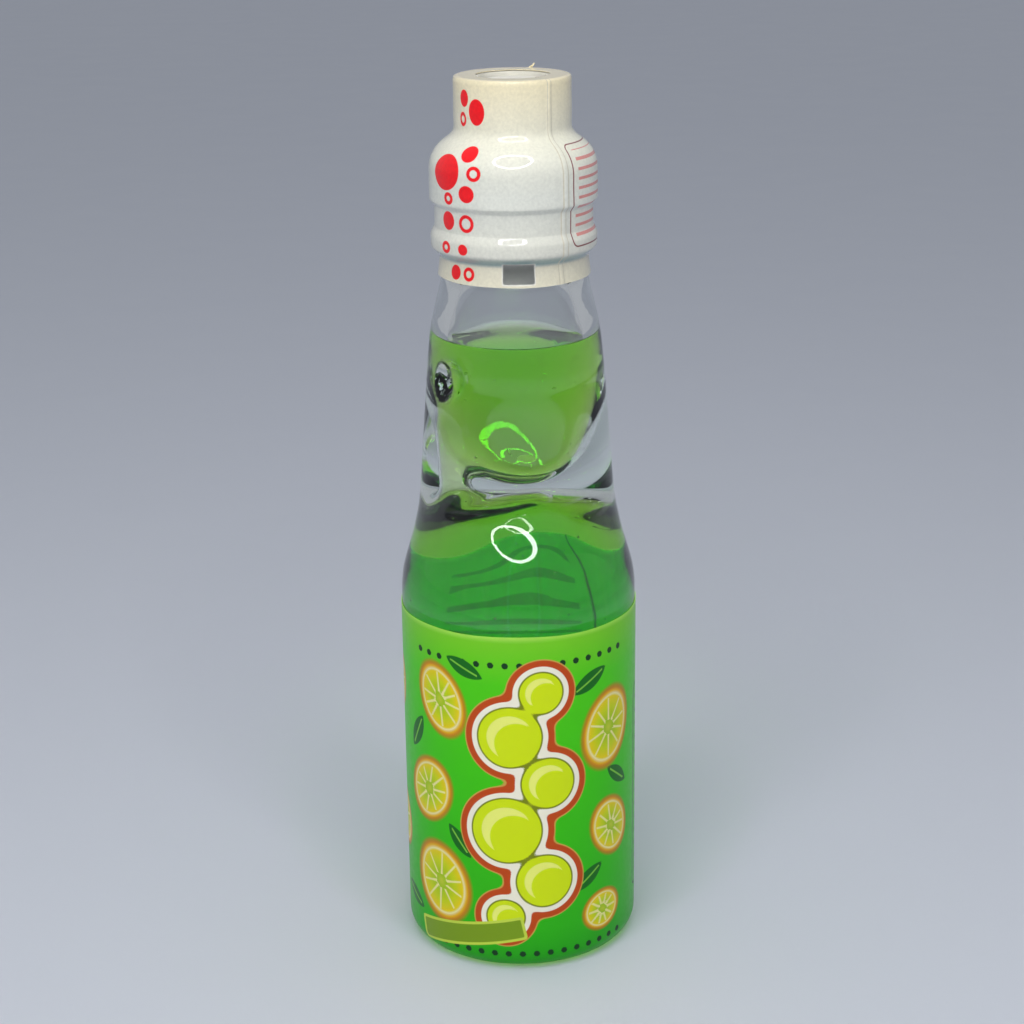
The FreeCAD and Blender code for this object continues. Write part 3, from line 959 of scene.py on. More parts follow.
    def make_hollow(self) -> None:
        """Shapes the skin of the hollow: rough rooms joined, remeshed evenly and settled on the field."""
        chamber, vault = self.chamber_section(), self.vault_section()
        self.chamber_field = TurnedField(chamber, self.cell)
        self.vault_field = TurnedField(vault, self.cell)
        wide = self.port_radius + self.port_blend / 4.0
        port = turned(np.array([
            (0.0, self.port_low),
            (wide, self.port_low),
            (wide, self.port_high),
            (0.0, self.port_high),
        ]), self.segments // 4)
        port.points[:, :2] += self.port_place()
        rough = turned(chamber, self.segments).joined(turned(vault, self.segments)).joined(port)
        holder = link_object("hollow_rough", rough.mesh("hollow_rough"))
        remesh = holder.modifiers.new("even_faces", "REMESH")
        remesh.mode = "VOXEL"
        remesh.voxel_size = self.voxel
        even = holder.modifiers.new("even_spacing", "SMOOTH")
        even.iterations = self.even_rounds
        made = holder.evaluated_get(bpy.context.evaluated_depsgraph_get()).to_mesh()
        points = mesh_points(made)
        faces = [tuple(polygon.vertices) for polygon in made.polygons]
        bpy.data.objects.remove(holder)
        self.hollow_skin = Skin(settle(self.hollow, points), faces)

    def cut_hollow(self, points: np.ndarray, top: float) -> bmesh.types.BMesh:
        """Cuts the hollow's skin off level at a height.

        Args:
            points: the skin's points, moved as wanted.
            top: the height of the cut.

        Returns:
            The part below the cut, open at the top.
        """
        cut = Skin(points, self.hollow_skin.faces).add_to(bmesh.new())
        bmesh.ops.bisect_plane(
            cut,
            geom=cut.verts[:] + cut.edges[:] + cut.faces[:],
            plane_co=(0.0, 0.0, top),
            plane_no=(0.0, 0.0, 1.0),
            clear_outer=True,
        )
        return cut

    def build(self) -> None:
        """Builds the glass and dresses it."""
        self.make_hollow()
        glass = self.cut_hollow(self.hollow_skin.points, self.join_height - 2.0 * self.step)
        turned(self.outer_section(), self.segments, bend=self.dented).add_to(glass)
        bmesh.ops.remove_doubles(glass, verts=glass.verts, dist=WELD_GAP)
        bmesh.ops.bridge_loops(glass, edges=[edge for edge in glass.edges if edge.is_boundary])
        mesh = closed_mesh("glass_shell", glass)
        finish = FLINT_GLASS.material()
        place_piece("glass_shell", mesh, finish, Body.BOTTLE, Slot.GLASS, "glass_bottle")


@dataclass
class Drink:
    """The soda: it wets the glass, climbs a little at its edge and carries bubbles on its walls."""

    glass: GlassBottle
    level: float = 150.5
    climb: float = 0.9
    curl: float = 1.1
    overlap: float = 0.07
    rings: tuple[float, ...] = (0.985, 0.96, 0.93, 0.89, 0.84, 0.76, 0.64, 0.48, 0.28, 0.1)
    bubbles: int = 80
    bubble_radius: tuple[float, float] = (0.12, 0.32)
    bubble_heights: tuple[float, float] = (70.0, 149.5)
    bubble_seed: int = 7
    bubble_segments: int = 14
    bubble_stand: float = 1.15

    def build(self) -> None:
        """Builds the drink and its bubbles and dresses them."""
        skin = self.glass.hollow_skin
        out = slope(self.glass.hollow, skin.points)
        out /= np.linalg.norm(out, axis=1)[:, None]
        body = self.glass.cut_hollow(skin.points + out * self.overlap, self.level + self.climb)
        self.close_top(body)
        mesh = closed_mesh("soda_fill", body)
        place_piece("soda_fill", mesh, LIME_SODA.material(), Body.BOTTLE, Slot.SODA, "drink")
        place_piece("fizz", self.fizz(out), FIZZ_GAS.material(), Body.BOTTLE, Slot.SODA)

    def close_top(self, body: bmesh.types.BMesh) -> None:
        """Lays the drink's surface over the open top, with its edge drawn up the glass.

        Args:
            body: the drink under construction, open at the top.
        """
        rim = [vert for vert in body.verts if vert.is_boundary]
        rim.sort(key=lambda vert: math.atan2(vert.co.y, vert.co.x))
        edge = sum(math.hypot(vert.co.x, vert.co.y) for vert in rim) / len(rim)
        rows = [rim]
        for share in self.rings:
            lift = self.climb * math.exp(-(1.0 - share) * edge / self.curl)
            rows.append([
                body.verts.new((vert.co.x * share, vert.co.y * share, self.level + lift)) for vert in rim
            ])
        for outer, inner in zip(rows, rows[1:]):
            for spot in range(len(rim)):
                after = (spot + 1) % len(rim)
                body.faces.new((outer[spot], outer[after], inner[after], inner[spot]))
        body.faces.new(rows[-1])

    def fizz(self, out: np.ndarray) -> bpy.types.Mesh:
        """Sets small bubbles on the inner wall.

        Args:
            out: unit normals of the hollow's skin.

        Returns:
            One mesh of separate closed bubbles.
        """
        points = self.glass.hollow_skin.points
        low, high = self.bubble_heights
        spots = np.flatnonzero((points[:, 2] > low) & (points[:, 2] < high))
        draw = np.random.default_rng(self.bubble_seed)
        arc = np.linspace(-math.pi / 2.0, math.pi / 2.0, self.bubble_segments // 2)
        ball = turned(np.column_stack((np.cos(arc), np.sin(arc))), self.bubble_segments)
        made = Skin(np.empty((0, 3)), [])
        for spot in draw.choice(spots, self.bubbles, replace=False):
            radius = draw.uniform(*self.bubble_radius)
            centre = points[spot] - out[spot] * (radius * self.bubble_stand)
            made = made.joined(Skin(ball.points * radius + centre, ball.faces))
        return closed_mesh("fizz", made.add_to(bmesh.new()))


@dataclass(frozen=True)
class Sheet:
    """A film laid flat: places along it from the front, heights, and its length round the bottle."""

    across: np.ndarray
    up: np.ndarray
    girth: float


@dataclass(frozen=True)
class Motif:
    """A printed motif on a film: place along the film from the front, height and half sizes.

    A round motif has its radius for its half width, and needs no half height.
    """

    across: float
    up: float
    half_width: float
    half_height: float = 0.0
    tilt: float = 0.0
    rounding: float = 0.0

    def local(self, sheet: Sheet) -> tuple[np.ndarray, np.ndarray]:
        """Measures from the motif's middle along its own two directions.

        Args:
            sheet: the film.

        Returns:
            Offsets along its width and along its height.
        """
        right = centred(sheet.across - self.across, sheet.girth)
        rise = sheet.up - self.up
        cos, sin = math.cos(math.radians(self.tilt)), math.sin(math.radians(self.tilt))
        return right * cos + rise * sin, rise * cos - right * sin

    def disc(self, sheet: Sheet) -> np.ndarray:
        """Signed distance to a round motif, negative inside."""
        return np.hypot(*self.local(sheet)) - self.half_width

    def oval(self, sheet: Sheet) -> np.ndarray:
        """Distance from the middle as a share of the oval's own radius."""
        right, rise = self.local(sheet)
        return np.hypot(right / self.half_width, rise / self.half_height)

    def leaf(self, sheet: Sheet) -> np.ndarray:
        """Measures to a leaf between two arcs.

        Args:
            sheet: the film.

        Returns:
            The signed distance, negative inside.
        """
        right, rise = self.local(sheet)
        bow = (self.half_width ** 2 - self.half_height ** 2) / (2.0 * self.half_height)
        return np.hypot(right, np.abs(rise) + bow) - bow - self.half_height

    def vein(self, sheet: Sheet, share: float) -> np.ndarray:
        """Measures across a leaf's middle vein.

        Args:
            sheet: the film.
            share: how much of the leaf's length the vein takes.

        Returns:
            The signed distance, far off past the vein's ends and outside the leaf.
        """
        right, rise = self.local(sheet)
        within = (np.abs(right) < self.half_width * share) & (np.abs(rise) < self.half_height)
        return np.where(within, rise, FAR_OFF)

    def spokes(self, sheet: Sheet, count: int, span: tuple[float, float]) -> np.ndarray:
        """Measures across the nearest of a fruit slice's spokes.

        Args:
            sheet: the film.
            count: how many spokes there are, an even number.
            span: where a spoke starts and ends, as shares of the oval's own radius.

        Returns:
            The signed distance, far off outside the span.
        """
        right, rise = self.local(sheet)
        share = self.oval(sheet)
        beside = np.hypot(right, rise) * np.sin(np.arctan2(rise, right) * count / 2.0) * 2.0 / count
        return np.where((share > span[0]) & (share < span[1]), beside, FAR_OFF)

    def box(self, sheet: Sheet) -> np.ndarray:
        """Measures to a rounded box.

        Args:
            sheet: the film.

        Returns:
            The signed distance, negative inside.
        """
        right, rise = self.local(sheet)
        wide = np.abs(right) - self.half_width + self.rounding
        tall = np.abs(rise) - self.half_height + self.rounding
        outside = np.hypot(np.maximum(wide, 0.0), np.maximum(tall, 0.0))
        return outside + np.minimum(np.maximum(wide, tall), 0.0) - self.rounding


@dataclass(frozen=True)
class Wave:
    """One part of a cut edge's waver: swings round the bottle, their phase in radians, and its share."""

    swings: int
    phase: float = 0.0
    share: float = 1.0


def waver(angle: np.ndarray, waves: Sequence[Wave]) -> np.ndarray:
    """How far a cut edge strays at each angle, for a first wave of 1."""
    return sum(wave.share * np.sin(wave.swings * angle + wave.phase) for wave in waves)


def fade(away: np.ndarray, reach: float) -> np.ndarray:
    """1 at an edge, falling evenly to 0 where the reach ends."""
    return np.clip(1.0 - away / reach, 0.0, 1.0)


@dataclass
class Film(ABC):
    """A turned sleeve of shrink film: two faces a thickness apart, a glued seam and a print."""

    seam_azimuth: float
    seam_width: float
    seam_step: float
    print_radius: float
    segments: int
    step: float
    gap: float
    thick: float
    seam_fade: float = 0.4

    @abstractmethod
    def face(self, gap: float) -> np.ndarray:
        """One face of the film, from top to foot, off its backing by a gap."""

    @abstractmethod
    def bend(
        self, angle: np.ndarray, radius: np.ndarray, height: np.ndarray
    ) -> tuple[np.ndarray, np.ndarray]:
        """What the film's shape makes of the turned faces' radii and heights."""

    @abstractmethod
    def layers(self, sheet: Sheet) -> dict[str, np.ndarray]:
        """The distances that the print is drawn from, by name."""

    def azimuth(self, angle: np.ndarray) -> np.ndarray:
        """Angle from the front, positive to the right of the photographed side."""
        return centred(angle - FRONT_ANGLE, FULL_TURN)

    def seam_across(self) -> float:
        """Where the seam lies along the film from the front."""
        return math.radians(self.seam_azimuth) * self.print_radius

    def seam(self, angle: np.ndarray) -> np.ndarray:
        """Finds how far the glued overlap lifts the film's outer face.

        Args:
            angle: angle of each point about the axis, with the outer face's rows first.

        Returns:
            The lift, 0 on the inner face and away from the seam.
        """
        away = np.abs(self.azimuth(angle - math.radians(self.seam_azimuth))) * self.print_radius
        share = np.clip((self.seam_width / 2.0 - away) / self.seam_fade + 0.5, 0.0, 1.0)
        outer = np.arange(len(angle))[:, None] < len(angle) // 2
        return outer * self.seam_step * share

    def film_mesh(self, name: str, *scraps: Skin) -> bpy.types.Mesh:
        """Turns the two faces of the film into one closed sleeve.

        Args:
            name: the mesh's name.
            *scraps: closed scraps of film that belong to it.

        Returns:
            The mesh, in millimetres.
        """
        inner, outer = self.face(self.gap), self.face(self.gap + self.thick)
        rows = min(len(inner), len(outer))
        section = np.vstack((outer[:rows], inner[:rows][::-1]))
        skin = turned(section, self.segments, closed=True, bend=self.bend)
        for scrap in scraps:
            skin = skin.joined(scrap)
        return closed_mesh(name, skin.add_to(bmesh.new()))

    def print_on(self, mesh: bpy.types.Mesh, line: np.ndarray | None = None) -> None:
        """Stores the print's distances on the film's points.

        Args:
            mesh: the film, in millimetres.
            line: the film's outline from top to foot, where the print's heights run along it from the foot.
        """
        east, north, up = mesh_points(mesh).T
        across = self.azimuth(np.arctan2(north, east)) * self.print_radius
        if line is not None:
            climb = line[::-1]
            run = np.concatenate(([0.0], np.cumsum(np.linalg.norm(np.diff(climb, axis=0), axis=1))))
            up = np.interp(up, climb[:, 1], run)
        sheet = Sheet(across, up, FULL_TURN * self.print_radius)
        for name, reach in self.layers(sheet).items():
            mesh.attributes.new(name, "FLOAT", "POINT").data.foreach_set("value", reach)


# Printed shrink sleeve: bright green inks under clear gloss, lighter towards the upper edge, with painted
# shade at the foot where it turns under the heel and a pale painted highlight along the upper edge itself
LABEL_FILM = PrintedFilm(
    "printed_sleeve",
    ground=(
        # Painted shade: darker at the foot, where the film turns under the heel
        (0.0, "#1A9C10"),
        (0.12, "#2AB60C"),
        (0.55, "#3CC806"),
        (0.86, "#4ED00C"),
        (0.985, "#78D022"),
        # Painted highlight: a pale line along the very upper edge
        (1.0, "#A8E456"),
    ),
    inks=(
        Ink("panel", 0.3, "#0F4A1C", outline=True),
        Ink("panel", -2.6, "#145522", ruled_mm=3.6),
        Ink("notes", 0.0, "#40A90E", ruled_mm=2.4),
        Ink("glue", 0.0, "#14660F"),
        Ink("dots", 0.0, "#0C3A18"),
        Ink("leaf", 0.0, "#0E6B14"),
        Ink("vein", 0.2, "#7CC83C", outline=True),
        Ink("slice", 1.0, "#B85E18"),
        Ink("slice", 0.95, stops=(
            (0.0, "#C9D23A"),
            (0.18, "#A4C810"),
            (0.5, "#CCD80C"),
            (0.74, "#EAD214"),
            (0.79, "#F2E8A8"),
            (0.86, "#E8B81A"),
            (0.95, "#D69218"),
        )),
        Ink("spoke", 0.24, "#F0EA9A", outline=True),
        Ink("beads", 3.3, "#C9A24A"),
        Ink("beads", 3.0, "#C24A12"),
        Ink("beads", 1.5, "#F6F1DC"),
        Ink("beads", 0.25, "#7E8A12"),
        Ink("beads", -0.15, "#D3E80A"),
        Ink("gleam", 0.0, "#F0F67A"),
        Ink("ribbon", 0.0, "#C6DC4A"),
        Ink("ribbon", -0.7, "#7C9E1A"),
    ),
    roughness=0.36,
    peel_mm=1.6,
    peel_depth_mm=0.012,
    lamp_share=0.8,
    lamp_tint="#CFF5A8",
    coat=0.2,
)


@dataclass
class SleeveLabel(Film):
    """The printed sleeve on the body, drawn in round the heel."""

    seam_azimuth: float = 161.0
    seam_width: float = 4.0
    seam_step: float = 0.06
    print_radius: float = 28.2
    segments: int = 300
    step: float = 0.62
    gap: float = 0.1
    thick: float = 0.12
    glass: GlassBottle = field(default_factory=GlassBottle)
    top: float = 86.4
    foot: float = 0.8
    edge_wave: float = 0.14
    edge_reach: float = 4.0
    edge_waves: tuple[Wave, ...] = (Wave(3, phase=0.6), Wave(7, share=0.6))
    beads: tuple[Motif, ...] = (
        Motif(5.0, 72.5, 5.2),
        Motif(-2.5, 61.5, 7.6),
        Motif(6.5, 49.5, 6.4),
        Motif(-3.5, 37.5, 8.4),
        Motif(5.5, 24.0, 6.8),
        Motif(-4.0, 14.5, 4.6),
        Motif(-55.0, 20.5, 4.8),
        Motif(-52.0, 11.0, 3.6),
    )
    slices: tuple[Motif, ...] = (
        Motif(-20.5, 68.5, 7.0, 9.6, 24.0),
        Motif(23.5, 60.0, 8.2, 10.4, -18.0),
        Motif(-25.0, 44.0, 7.4, 8.8, -30.0),
        Motif(24.5, 34.0, 6.6, 8.2, 28.0),
        Motif(-21.5, 20.5, 8.8, 10.6, 14.0),
        Motif(21.5, 12.5, 6.2, 5.4),
        Motif(-42.0, 30.0, 6.4, 7.8, 20.0),
        Motif(-44.0, 66.0, 6.4, 7.8, -20.0),
        Motif(-56.0, 52.0, 6.0, 7.4, 10.0),
    )
    leaves: tuple[Motif, ...] = (
        Motif(-13.5, 78.0, 5.2, 2.0, -24.0),
        Motif(17.5, 73.5, 5.6, 2.1, 28.0),
        Motif(-29.5, 57.5, 5.4, 2.1, 62.0),
        Motif(27.0, 46.6, 5.0, 1.9, -38.0),
        Motif(-15.5, 33.0, 5.0, 1.9, -52.0),
        Motif(17.0, 22.5, 5.2, 2.0, 34.0),
        Motif(-33.5, 12.0, 5.2, 2.0, -20.0),
        Motif(-51.0, 40.5, 5.2, 2.0, 30.0),
        Motif(-49.0, 77.0, 5.2, 2.0, 12.0),
    )
    panels: tuple[Motif, ...] = (
        Motif(53.0, 38.0, 15.5, 27.0, rounding=2.5),
        Motif(-76.0, 38.0, 12.0, 27.0, rounding=2.5),
    )
    notes: Motif = Motif(-88.0, 74.5, 8.5, 7.5)
    ribbon: Motif = Motif(-14.0, 8.6, 15.0, 3.1, 12.0, rounding=0.6)
    dot_rows: tuple[float, ...] = (79.5, 4.6)
    dot_radius: float = 0.8
    dot_pitch: float = 3.4
    dot_reach: float = 29.0
    spokes: int = 10
    spoke_span: tuple[float, float] = (0.16, 0.77)
    vein_share: float = 0.8
    bead_merge: float = 2.0
    gleam_outer: float = 0.72
    gleam_inner: float = 0.68
    gleam_shift: float = 0.2
    glue_half: float = 0.2

    def face(self, gap: float) -> np.ndarray:
        """Draws one face of the film, from its upper edge to its foot.

        Args:
            gap: how far the face lies off the glass.

        Returns:
            Rows of radius and height.
        """
        side = self.glass.body_radius + gap
        stand_in = self.glass.body_radius - self.glass.heel_radius - self.glass.stand_width
        line = rounded_line([
            Corner(side, self.top),
            Corner(side, -gap, self.glass.heel_radius + gap),
            Corner(stand_in, -gap),
        ], self.step)
        return line[line[:, 1] >= self.foot]

    def bend(
        self, angle: np.ndarray, radius: np.ndarray, height: np.ndarray
    ) -> tuple[np.ndarray, np.ndarray]:
        """Lifts the seam and lets the upper edge waver as shrunk film does.

        Args:
            angle: angle of each point about the axis.
            radius: its radius.
            height: its height.

        Returns:
            The new radii and heights.
        """
        by_edge = fade(self.top - height, self.edge_reach)
        strayed = by_edge * self.edge_wave * waver(angle, self.edge_waves)
        return radius + self.seam(angle), height + strayed

    def gleam(self, bead: Motif, sheet: Sheet) -> np.ndarray:
        """Measures to the pale crescent on a bead.

        Args:
            bead: the bead.
            sheet: the film.

        Returns:
            The signed distance, negative inside.
        """
        size, shift = bead.half_width, bead.half_width * self.gleam_shift
        outer = Motif(bead.across, bead.up, size * self.gleam_outer)
        hole = Motif(bead.across + shift, bead.up - shift, size * self.gleam_inner)
        return np.maximum(outer.disc(sheet), -hole.disc(sheet))

    def layers(self, sheet: Sheet) -> dict[str, np.ndarray]:
        """Measures the label's motifs.

        Args:
            sheet: the film.

        Returns:
            Each motif family's distance by name.
        """
        beads = np.full_like(sheet.up, FAR_OFF)
        for bead in self.beads:
            beads = smooth_min(beads, bead.disc(sheet), self.bead_merge)
        spokes = [motif.spokes(sheet, self.spokes, self.spoke_span) for motif in self.slices]
        beside = centred(sheet.across, self.dot_pitch)
        dots = nearest(np.hypot(beside, sheet.up - row) - self.dot_radius for row in self.dot_rows)
        return {
            "beads": beads,
            "gleam": nearest(self.gleam(bead, sheet) for bead in self.beads),
            "slice": nearest(motif.oval(sheet) for motif in self.slices),
            "spoke": nearest_zero(spokes),
            "leaf": nearest(motif.leaf(sheet) for motif in self.leaves),
            "vein": nearest_zero(motif.vein(sheet, self.vein_share) for motif in self.leaves),
            "panel": nearest(motif.box(sheet) for motif in self.panels),
            "ribbon": self.ribbon.box(sheet),
            "notes": self.notes.box(sheet),
            "glue": np.abs(sheet.across - self.seam_across()) - self.glue_half,
            "dots": np.where(np.abs(sheet.across) < self.dot_reach, dots, FAR_OFF),
        }

    def build(self) -> None:
        """Builds the label and dresses it."""
        mesh = self.film_mesh("sleeve_label")
        self.print_on(mesh)
        finish = LABEL_FILM.material(self.foot, self.top)
        place_piece("sleeve_label", mesh, finish, Body.BOTTLE, Slot.LABEL, "body_label")


# White shrink film: cream over the opener and greyer lower down, with a teal-grey band of painted shade
# where it tucks in under the neck bead, red inks and a clear window
WRAP_FILM = PrintedFilm(
    "white_shrink_film",
    ground=(
        (0.0, "#E3DDC4"),
        (0.095, "#E0DAC4"),
        # Painted shade: a teal-grey band on the tuck under the neck bead, where the film faces down
        (0.112, "#8FA5A2"),
        (0.132, "#9DB0AA"),
        (0.15, "#DAD9CC"),
        (0.45, "#DEDFD4"),
        (0.7, "#E4E2D0"),
        (1.0, "#EDE1BC"),
    ),
    inks=(
        Ink("seam", 0.13, "#CBC4AE", outline=True),
        Ink("panel", 0.16, "#7A2A2A", outline=True),
        Ink("panel", -1.6, "#D88E86", ruled_mm=2.1),
        Ink("rings", 0.4, "#F20612", outline=True),
        Ink("spots", 0.0, "#F20612"),
        Ink("window", 0.24, "#F2EFE4"),
    ),
    roughness=0.4,
    peel_mm=0.7,
    peel_depth_mm=0.02,
    coat=1.0,
    coat_roughness=0.03,
    # Painted glints in the colour, following the orange peel
    glint_mottle=0.055,
    clear_attribute="window",
)


@dataclass
class CapWrap(Film):
    """The white shrink film over the opener, the mouth cap and the neck bead."""

    seam_azimuth: float = 37.0
    seam_width: float = 1.3
    seam_step: float = 0.2
    print_radius: float = 18.0
    segments: int = 288
    step: float = 0.6
    gap: float = 0.15
    thick: float = 0.15
    hole: float = 8.2
    ring_top: float = 210.1
    ring_round: float = 0.45
    land: Corner = Corner(12.95, 197.95, 3.5)
    dome: Corner = Corner(18.8, 193.54, 7.5)
    step_top: float = 183.1
    band_top: float = 181.9
    band_radius: float = 17.8
    band_low: float = 177.0
    bead: Corner = Corner(18.7, 175.1, 1.0)
    bead_low: float = 172.3
    tuck: Corner = Corner(16.6, 170.4, 1.0)
    flare: float = 0.6
    foot: float = 165.7
    crease: float = 0.2
    hole_wave: float = 0.22
    hole_reach: float = 1.6
    hole_waves: tuple[Wave, ...] = (Wave(2, phase=0.4), Wave(5, phase=1.0, share=0.5), Wave(9, share=0.3))
    edge_wave: float = 0.1
    edge_reach: float = 3.0
    edge_waves: tuple[Wave, ...] = (Wave(2, phase=1.2), Wave(6, share=0.5))
    slack: float = 0.05
    # Swings round the bottle, and radians per millimetre of height
    slack_waves: tuple[tuple[int, float], ...] = ((4, 0.18), (2, 0.55))
    sliver_root: tuple[float, float, float] = (3.9, 12.7, 210.1)
    sliver_tip: tuple[float, float, float] = (5.2, 12.5, 211.3)
    sliver_width: float = 0.6
    sliver_bow: float = 0.06
    sliver_sides: int = 8
    # Shares of the sliver's half width, and of its length from root to tip
    sliver_outline: tuple[tuple[float, float], ...] = (
        (0.0, 0.0), (1.0, 0.0), (0.8, 0.5), (0.4, 1.0), (0.0, 1.0)
    )
    spots: tuple[Motif, ...] = (
        Motif(-16.6, 44.0, 1.9),
        Motif(-11.6, 41.2, 2.9),
        Motif(-10.6, 31.2, 2.2),
        Motif(-16.4, 26.4, 4.1),
        Motif(-10.4, 22.0, 1.9),
        Motif(-16.8, 15.0, 2.1),
        Motif(-11.6, 9.0, 1.25),
        Motif(-15.6, 2.4, 1.7),
    )
    rings: tuple[Motif, ...] = (
        Motif(-17.4, 39.4, 1.2),
        Motif(-8.6, 26.6, 1.3),
        Motif(-15.4, 20.6, 1.0),
        Motif(-11.2, 14.9, 1.6),
        Motif(-16.6, 9.0, 1.0),
        Motif(-11.4, 2.4, 1.2),
    )
    panel: Motif = Motif(23.0, 21.0, 9.2, 12.0, rounding=1.6)
    window: Motif = Motif(1.0, 2.95, 3.7, 2.3, rounding=0.15)

    def face(self, gap: float) -> np.ndarray:
        """Draws one face of the film, from the hole in its top to its lower edge.

        Args:
            gap: how far the face lies off its backing.

        Returns:
            Rows of radius and height.
        """
        return rounded_line([
            Corner(self.hole, self.ring_top + gap),
            Corner(self.land.radius + gap, self.ring_top + gap, self.ring_round + gap),
            Corner(self.land.radius + gap, self.land.height, self.land.rounding - gap),
            Corner(self.dome.radius + gap, self.dome.height, self.dome.rounding + gap),
            Corner(self.dome.radius + gap, self.step_top, self.crease),
            Corner(self.band_radius + gap, self.band_top, self.crease),
            Corner(self.band_radius + gap, self.band_low, self.crease),
            Corner(self.bead.radius + gap, self.bead.height, self.bead.rounding),
            Corner(self.bead.radius + gap, self.bead_low, self.bead.rounding),
            Corner(self.tuck.radius + gap, self.tuck.height, self.tuck.rounding),
            Corner(self.tuck.radius + self.flare + gap, self.foot),
        ], self.step)

    def bend(
        self, angle: np.ndarray, radius: np.ndarray, height: np.ndarray
    ) -> tuple[np.ndarray, np.ndarray]:
        """Gives the film its seam, a wavering hole and edge, and a little slack away from the hole.

        Args:
            angle: angle of each point about the axis.
            radius: its radius.
            height: its height.

        Returns:
            The new radii and heights.
        """
        by_hole = fade(radius - self.hole, self.hole_reach)
        by_edge = fade(height - self.foot, self.edge_reach)
        swings = [np.sin(turns * angle + climb * height) for turns, climb in self.slack_waves]
        slack = self.slack * (1.0 + np.prod(swings, axis=0))
        strayed = by_hole * self.hole_wave * waver(angle, self.hole_waves) + slack * (1.0 - by_hole)
        lowered = by_edge * self.edge_wave * waver(angle, self.edge_waves)
        return radius + self.seam(angle) + strayed, height + lowered

    def layers(self, sheet: Sheet) -> dict[str, np.ndarray]:
        """Measures the wrap's motifs.

        Args:
            sheet: the film.

        Returns:
            Each motif family's distance by name.
        """
        return {
            "spots": nearest(motif.disc(sheet) for motif in self.spots),
            "rings": nearest(motif.disc(sheet) for motif in self.rings),
            "panel": self.panel.box(sheet),
            "window": self.window.box(sheet),
            "seam": np.abs(sheet.across - self.seam_across()) - self.seam_width / 2.0,
        }

    def sliver(self) -> Skin:
        """Shapes a thin sliver of film that stands on the far rim, where the film was cut.

        Returns:
            The sliver, closed, in millimetres.
        """
        blade = turned(np.array(self.sliver_outline), self.sliver_sides)
        wide, deep, along = blade.points.T[:, :, None]
        root, tip = np.array(self.sliver_root), np.array(self.sliver_tip)
        east, _, rise = (tip - root) / np.linalg.norm(tip - root)
        beside = np.array((rise, 0.0, -east))
        bow = self.sliver_bow * np.sin(math.pi * along)
        points = root + (tip - root) * along + beside * (wide * self.sliver_width / 2.0 + bow)
        return Skin(points + np.array((0.0, self.thick / 2.0, 0.0)) * deep, blade.faces)

    def build(self) -> None:
        """Builds the film and dresses it."""
        mesh = self.film_mesh("shrink_wrap", self.sliver())
        self.print_on(mesh, self.face(self.gap + self.thick))
        finish = WRAP_FILM.material(self.foot, self.ring_top)
        place_piece("shrink_wrap", mesh, finish, Body.OPENER, Slot.WRAP, "cap_wrap")


@dataclass
class Closure:
    """The closure's CAD pieces, which keep their shape and take their finishes here."""

    def build(self) -> None:
        """Dresses the CAD pieces."""
        finishes = {
            "opener_ring": OPENER_PLASTIC,
            "opener_plunger": OPENER_PLASTIC,
            "mouth_cap": CAP_PLASTIC,
            "mouth_gasket": GASKET_RUBBER,
            "marble": MARBLE_GLASS,
        }
        for node, finish in finishes.items():
            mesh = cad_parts[node].data
            mesh.materials.clear()
            mesh.materials.append(finish.material())
            LOG.info("%s: dressed in %s", node, finish.name)


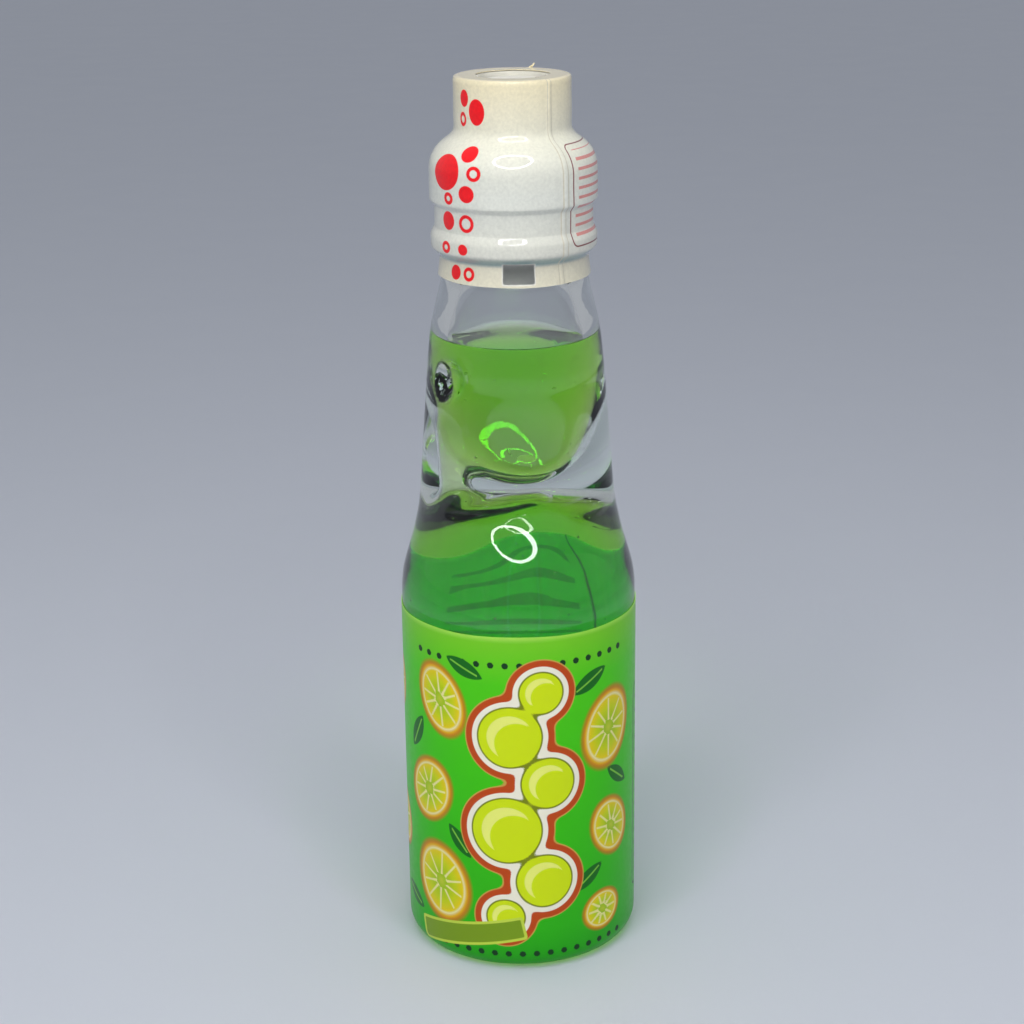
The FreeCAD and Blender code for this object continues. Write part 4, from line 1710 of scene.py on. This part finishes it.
@dataclass
class Studio:
    """A pale floor, soft light, a ring lamp and the camera at the photograph's angle.

    Lengths are metres and angles radians where a name says nothing else.
    """

    floor_half: float = 30.0
    world_colour: str = "#DADEE6"
    world_strength: float = 0.53
    key_power: float = 2.9
    key_size: float = 0.8
    key_place: tuple[float, float, float] = (-0.3, -0.85, 0.8)
    ring_radius: float = 0.18
    ring_tube: float = 0.013
    ring_sides: int = 12
    ring_segments: int = 96
    ring_distance: float = 0.5
    ring_elevation_deg: float = 55.0
    ring_strength: float = 20.0
    aim: tuple[float, float, float] = (0.0, 0.0, 0.15)
    camera_place_mm: tuple[float, float, float] = (0.0, -480.97, 268.65)
    camera_pitch: float = 0.3233
    camera_pan: float = -0.0027
    camera_roll: float = -0.0132
    focal_px: float = 2130.7
    image_px: float = 1024.0
    sensor_mm: float = 36.0

    def build(self) -> None:
        """Builds the stage, the lamps and the camera."""
        self.add_floor()
        self.add_world()
        self.add_key()
        self.add_ring()
        self.add_camera()

    def add_floor(self) -> None:
        """Lays a pale paper floor."""
        corners = np.array([(-1.0, -1.0, 0.0), (1.0, -1.0, 0.0), (1.0, 1.0, 0.0), (-1.0, 1.0, 0.0)])
        mesh = Skin(corners * self.floor_half, [(0, 1, 2, 3)]).mesh("floor")
        mesh.materials.append(FLOOR_PAPER.material())
        floor = link_object("floor", mesh)

    def add_world(self) -> None:
        """Fills the room with soft pale light."""
        world = bpy.data.worlds.new("soft_room")
        world.use_nodes = True
        tree = world.node_tree
        tree.nodes.clear()
        sky = add_node(tree, "ShaderNodeBackground", {
            "Color": linear(self.world_colour),
            "Strength": self.world_strength,
        })
        add_node(tree, "ShaderNodeOutputWorld", {"Surface": sky.outputs["Background"]})
        bpy.context.scene.world = world

    def add_key(self) -> None:
        """Hangs a large soft lamp in front, above the camera."""
        data = bpy.data.lights.new("key", "AREA")
        data.energy = self.key_power
        data.size = self.key_size
        lamp = link_object("key", data)
        lamp.location = self.key_place
        aim = Vector(self.aim) - Vector(self.key_place)
        lamp.rotation_euler = aim.to_track_quat("-Z", "Y").to_euler()
        lamp.visible_glossy = False
        lamp.visible_transmission = False

    def add_ring(self) -> None:
        """Hangs a ring lamp in front, above the camera, for the ring-shaped highlights."""
        rise = math.radians(self.ring_elevation_deg)
        way = Vector((0.0, -math.cos(rise), math.sin(rise)))
        tube = np.linspace(0.0, FULL_TURN, self.ring_sides, endpoint=False)
        section = np.column_stack((np.cos(tube), np.sin(tube))) * self.ring_tube
        section[:, 0] += self.ring_radius
        mesh = turned(section, self.ring_segments, closed=True).mesh("ring_lamp")
        material, tree, output = new_material("ring_lamp_glow")
        glow = add_node(tree, "ShaderNodeEmission", {"Strength": self.ring_strength})
        tree.links.new(glow.outputs["Emission"], output.inputs["Surface"])
        mesh.materials.append(material)
        ring = link_object("ring_lamp", mesh)
        ring.location = Vector(self.aim) + way * self.ring_distance
        ring.rotation_euler = way.to_track_quat("Z", "Y").to_euler()
        ring.visible_camera = False

    def add_camera(self) -> None:
        """Sets the camera where the photograph was taken from."""
        pitch, pan, roll = self.camera_pitch, self.camera_pan, self.camera_roll
        ahead = Vector((
            math.sin(pan) * math.cos(pitch),
            math.cos(pan) * math.cos(pitch),
            -math.sin(pitch),
        ))
        level = Vector((math.cos(pan), -math.sin(pan), 0.0))
        upright = level.cross(ahead)
        right = level * math.cos(roll) + upright * math.sin(roll)
        up = upright * math.cos(roll) - level * math.sin(roll)
        data = bpy.data.cameras.new("photo_camera")
        data.sensor_width = self.sensor_mm
        data.lens = self.focal_px / self.image_px * self.sensor_mm
        camera = link_object("photo_camera", data)
        turn = Matrix((right, up, -ahead)).transposed().to_4x4()
        camera.matrix_world = Matrix.Translation(Vector(self.camera_place_mm) * MM) @ turn
        bpy.context.scene.camera = camera


def main() -> None:
    """Builds the bottle piece by piece, then the studio."""
    logging.basicConfig(level=logging.INFO, format="%(name)s %(message)s")
    bpy.context.scene.view_settings.view_transform = "Standard"
    glass = GlassBottle()
    glass.build()
    Drink(glass).build()
    SleeveLabel(glass=glass).build()
    CapWrap().build()
    Closure().build()
    Studio().build()


if __name__ == "__main__":
    main()
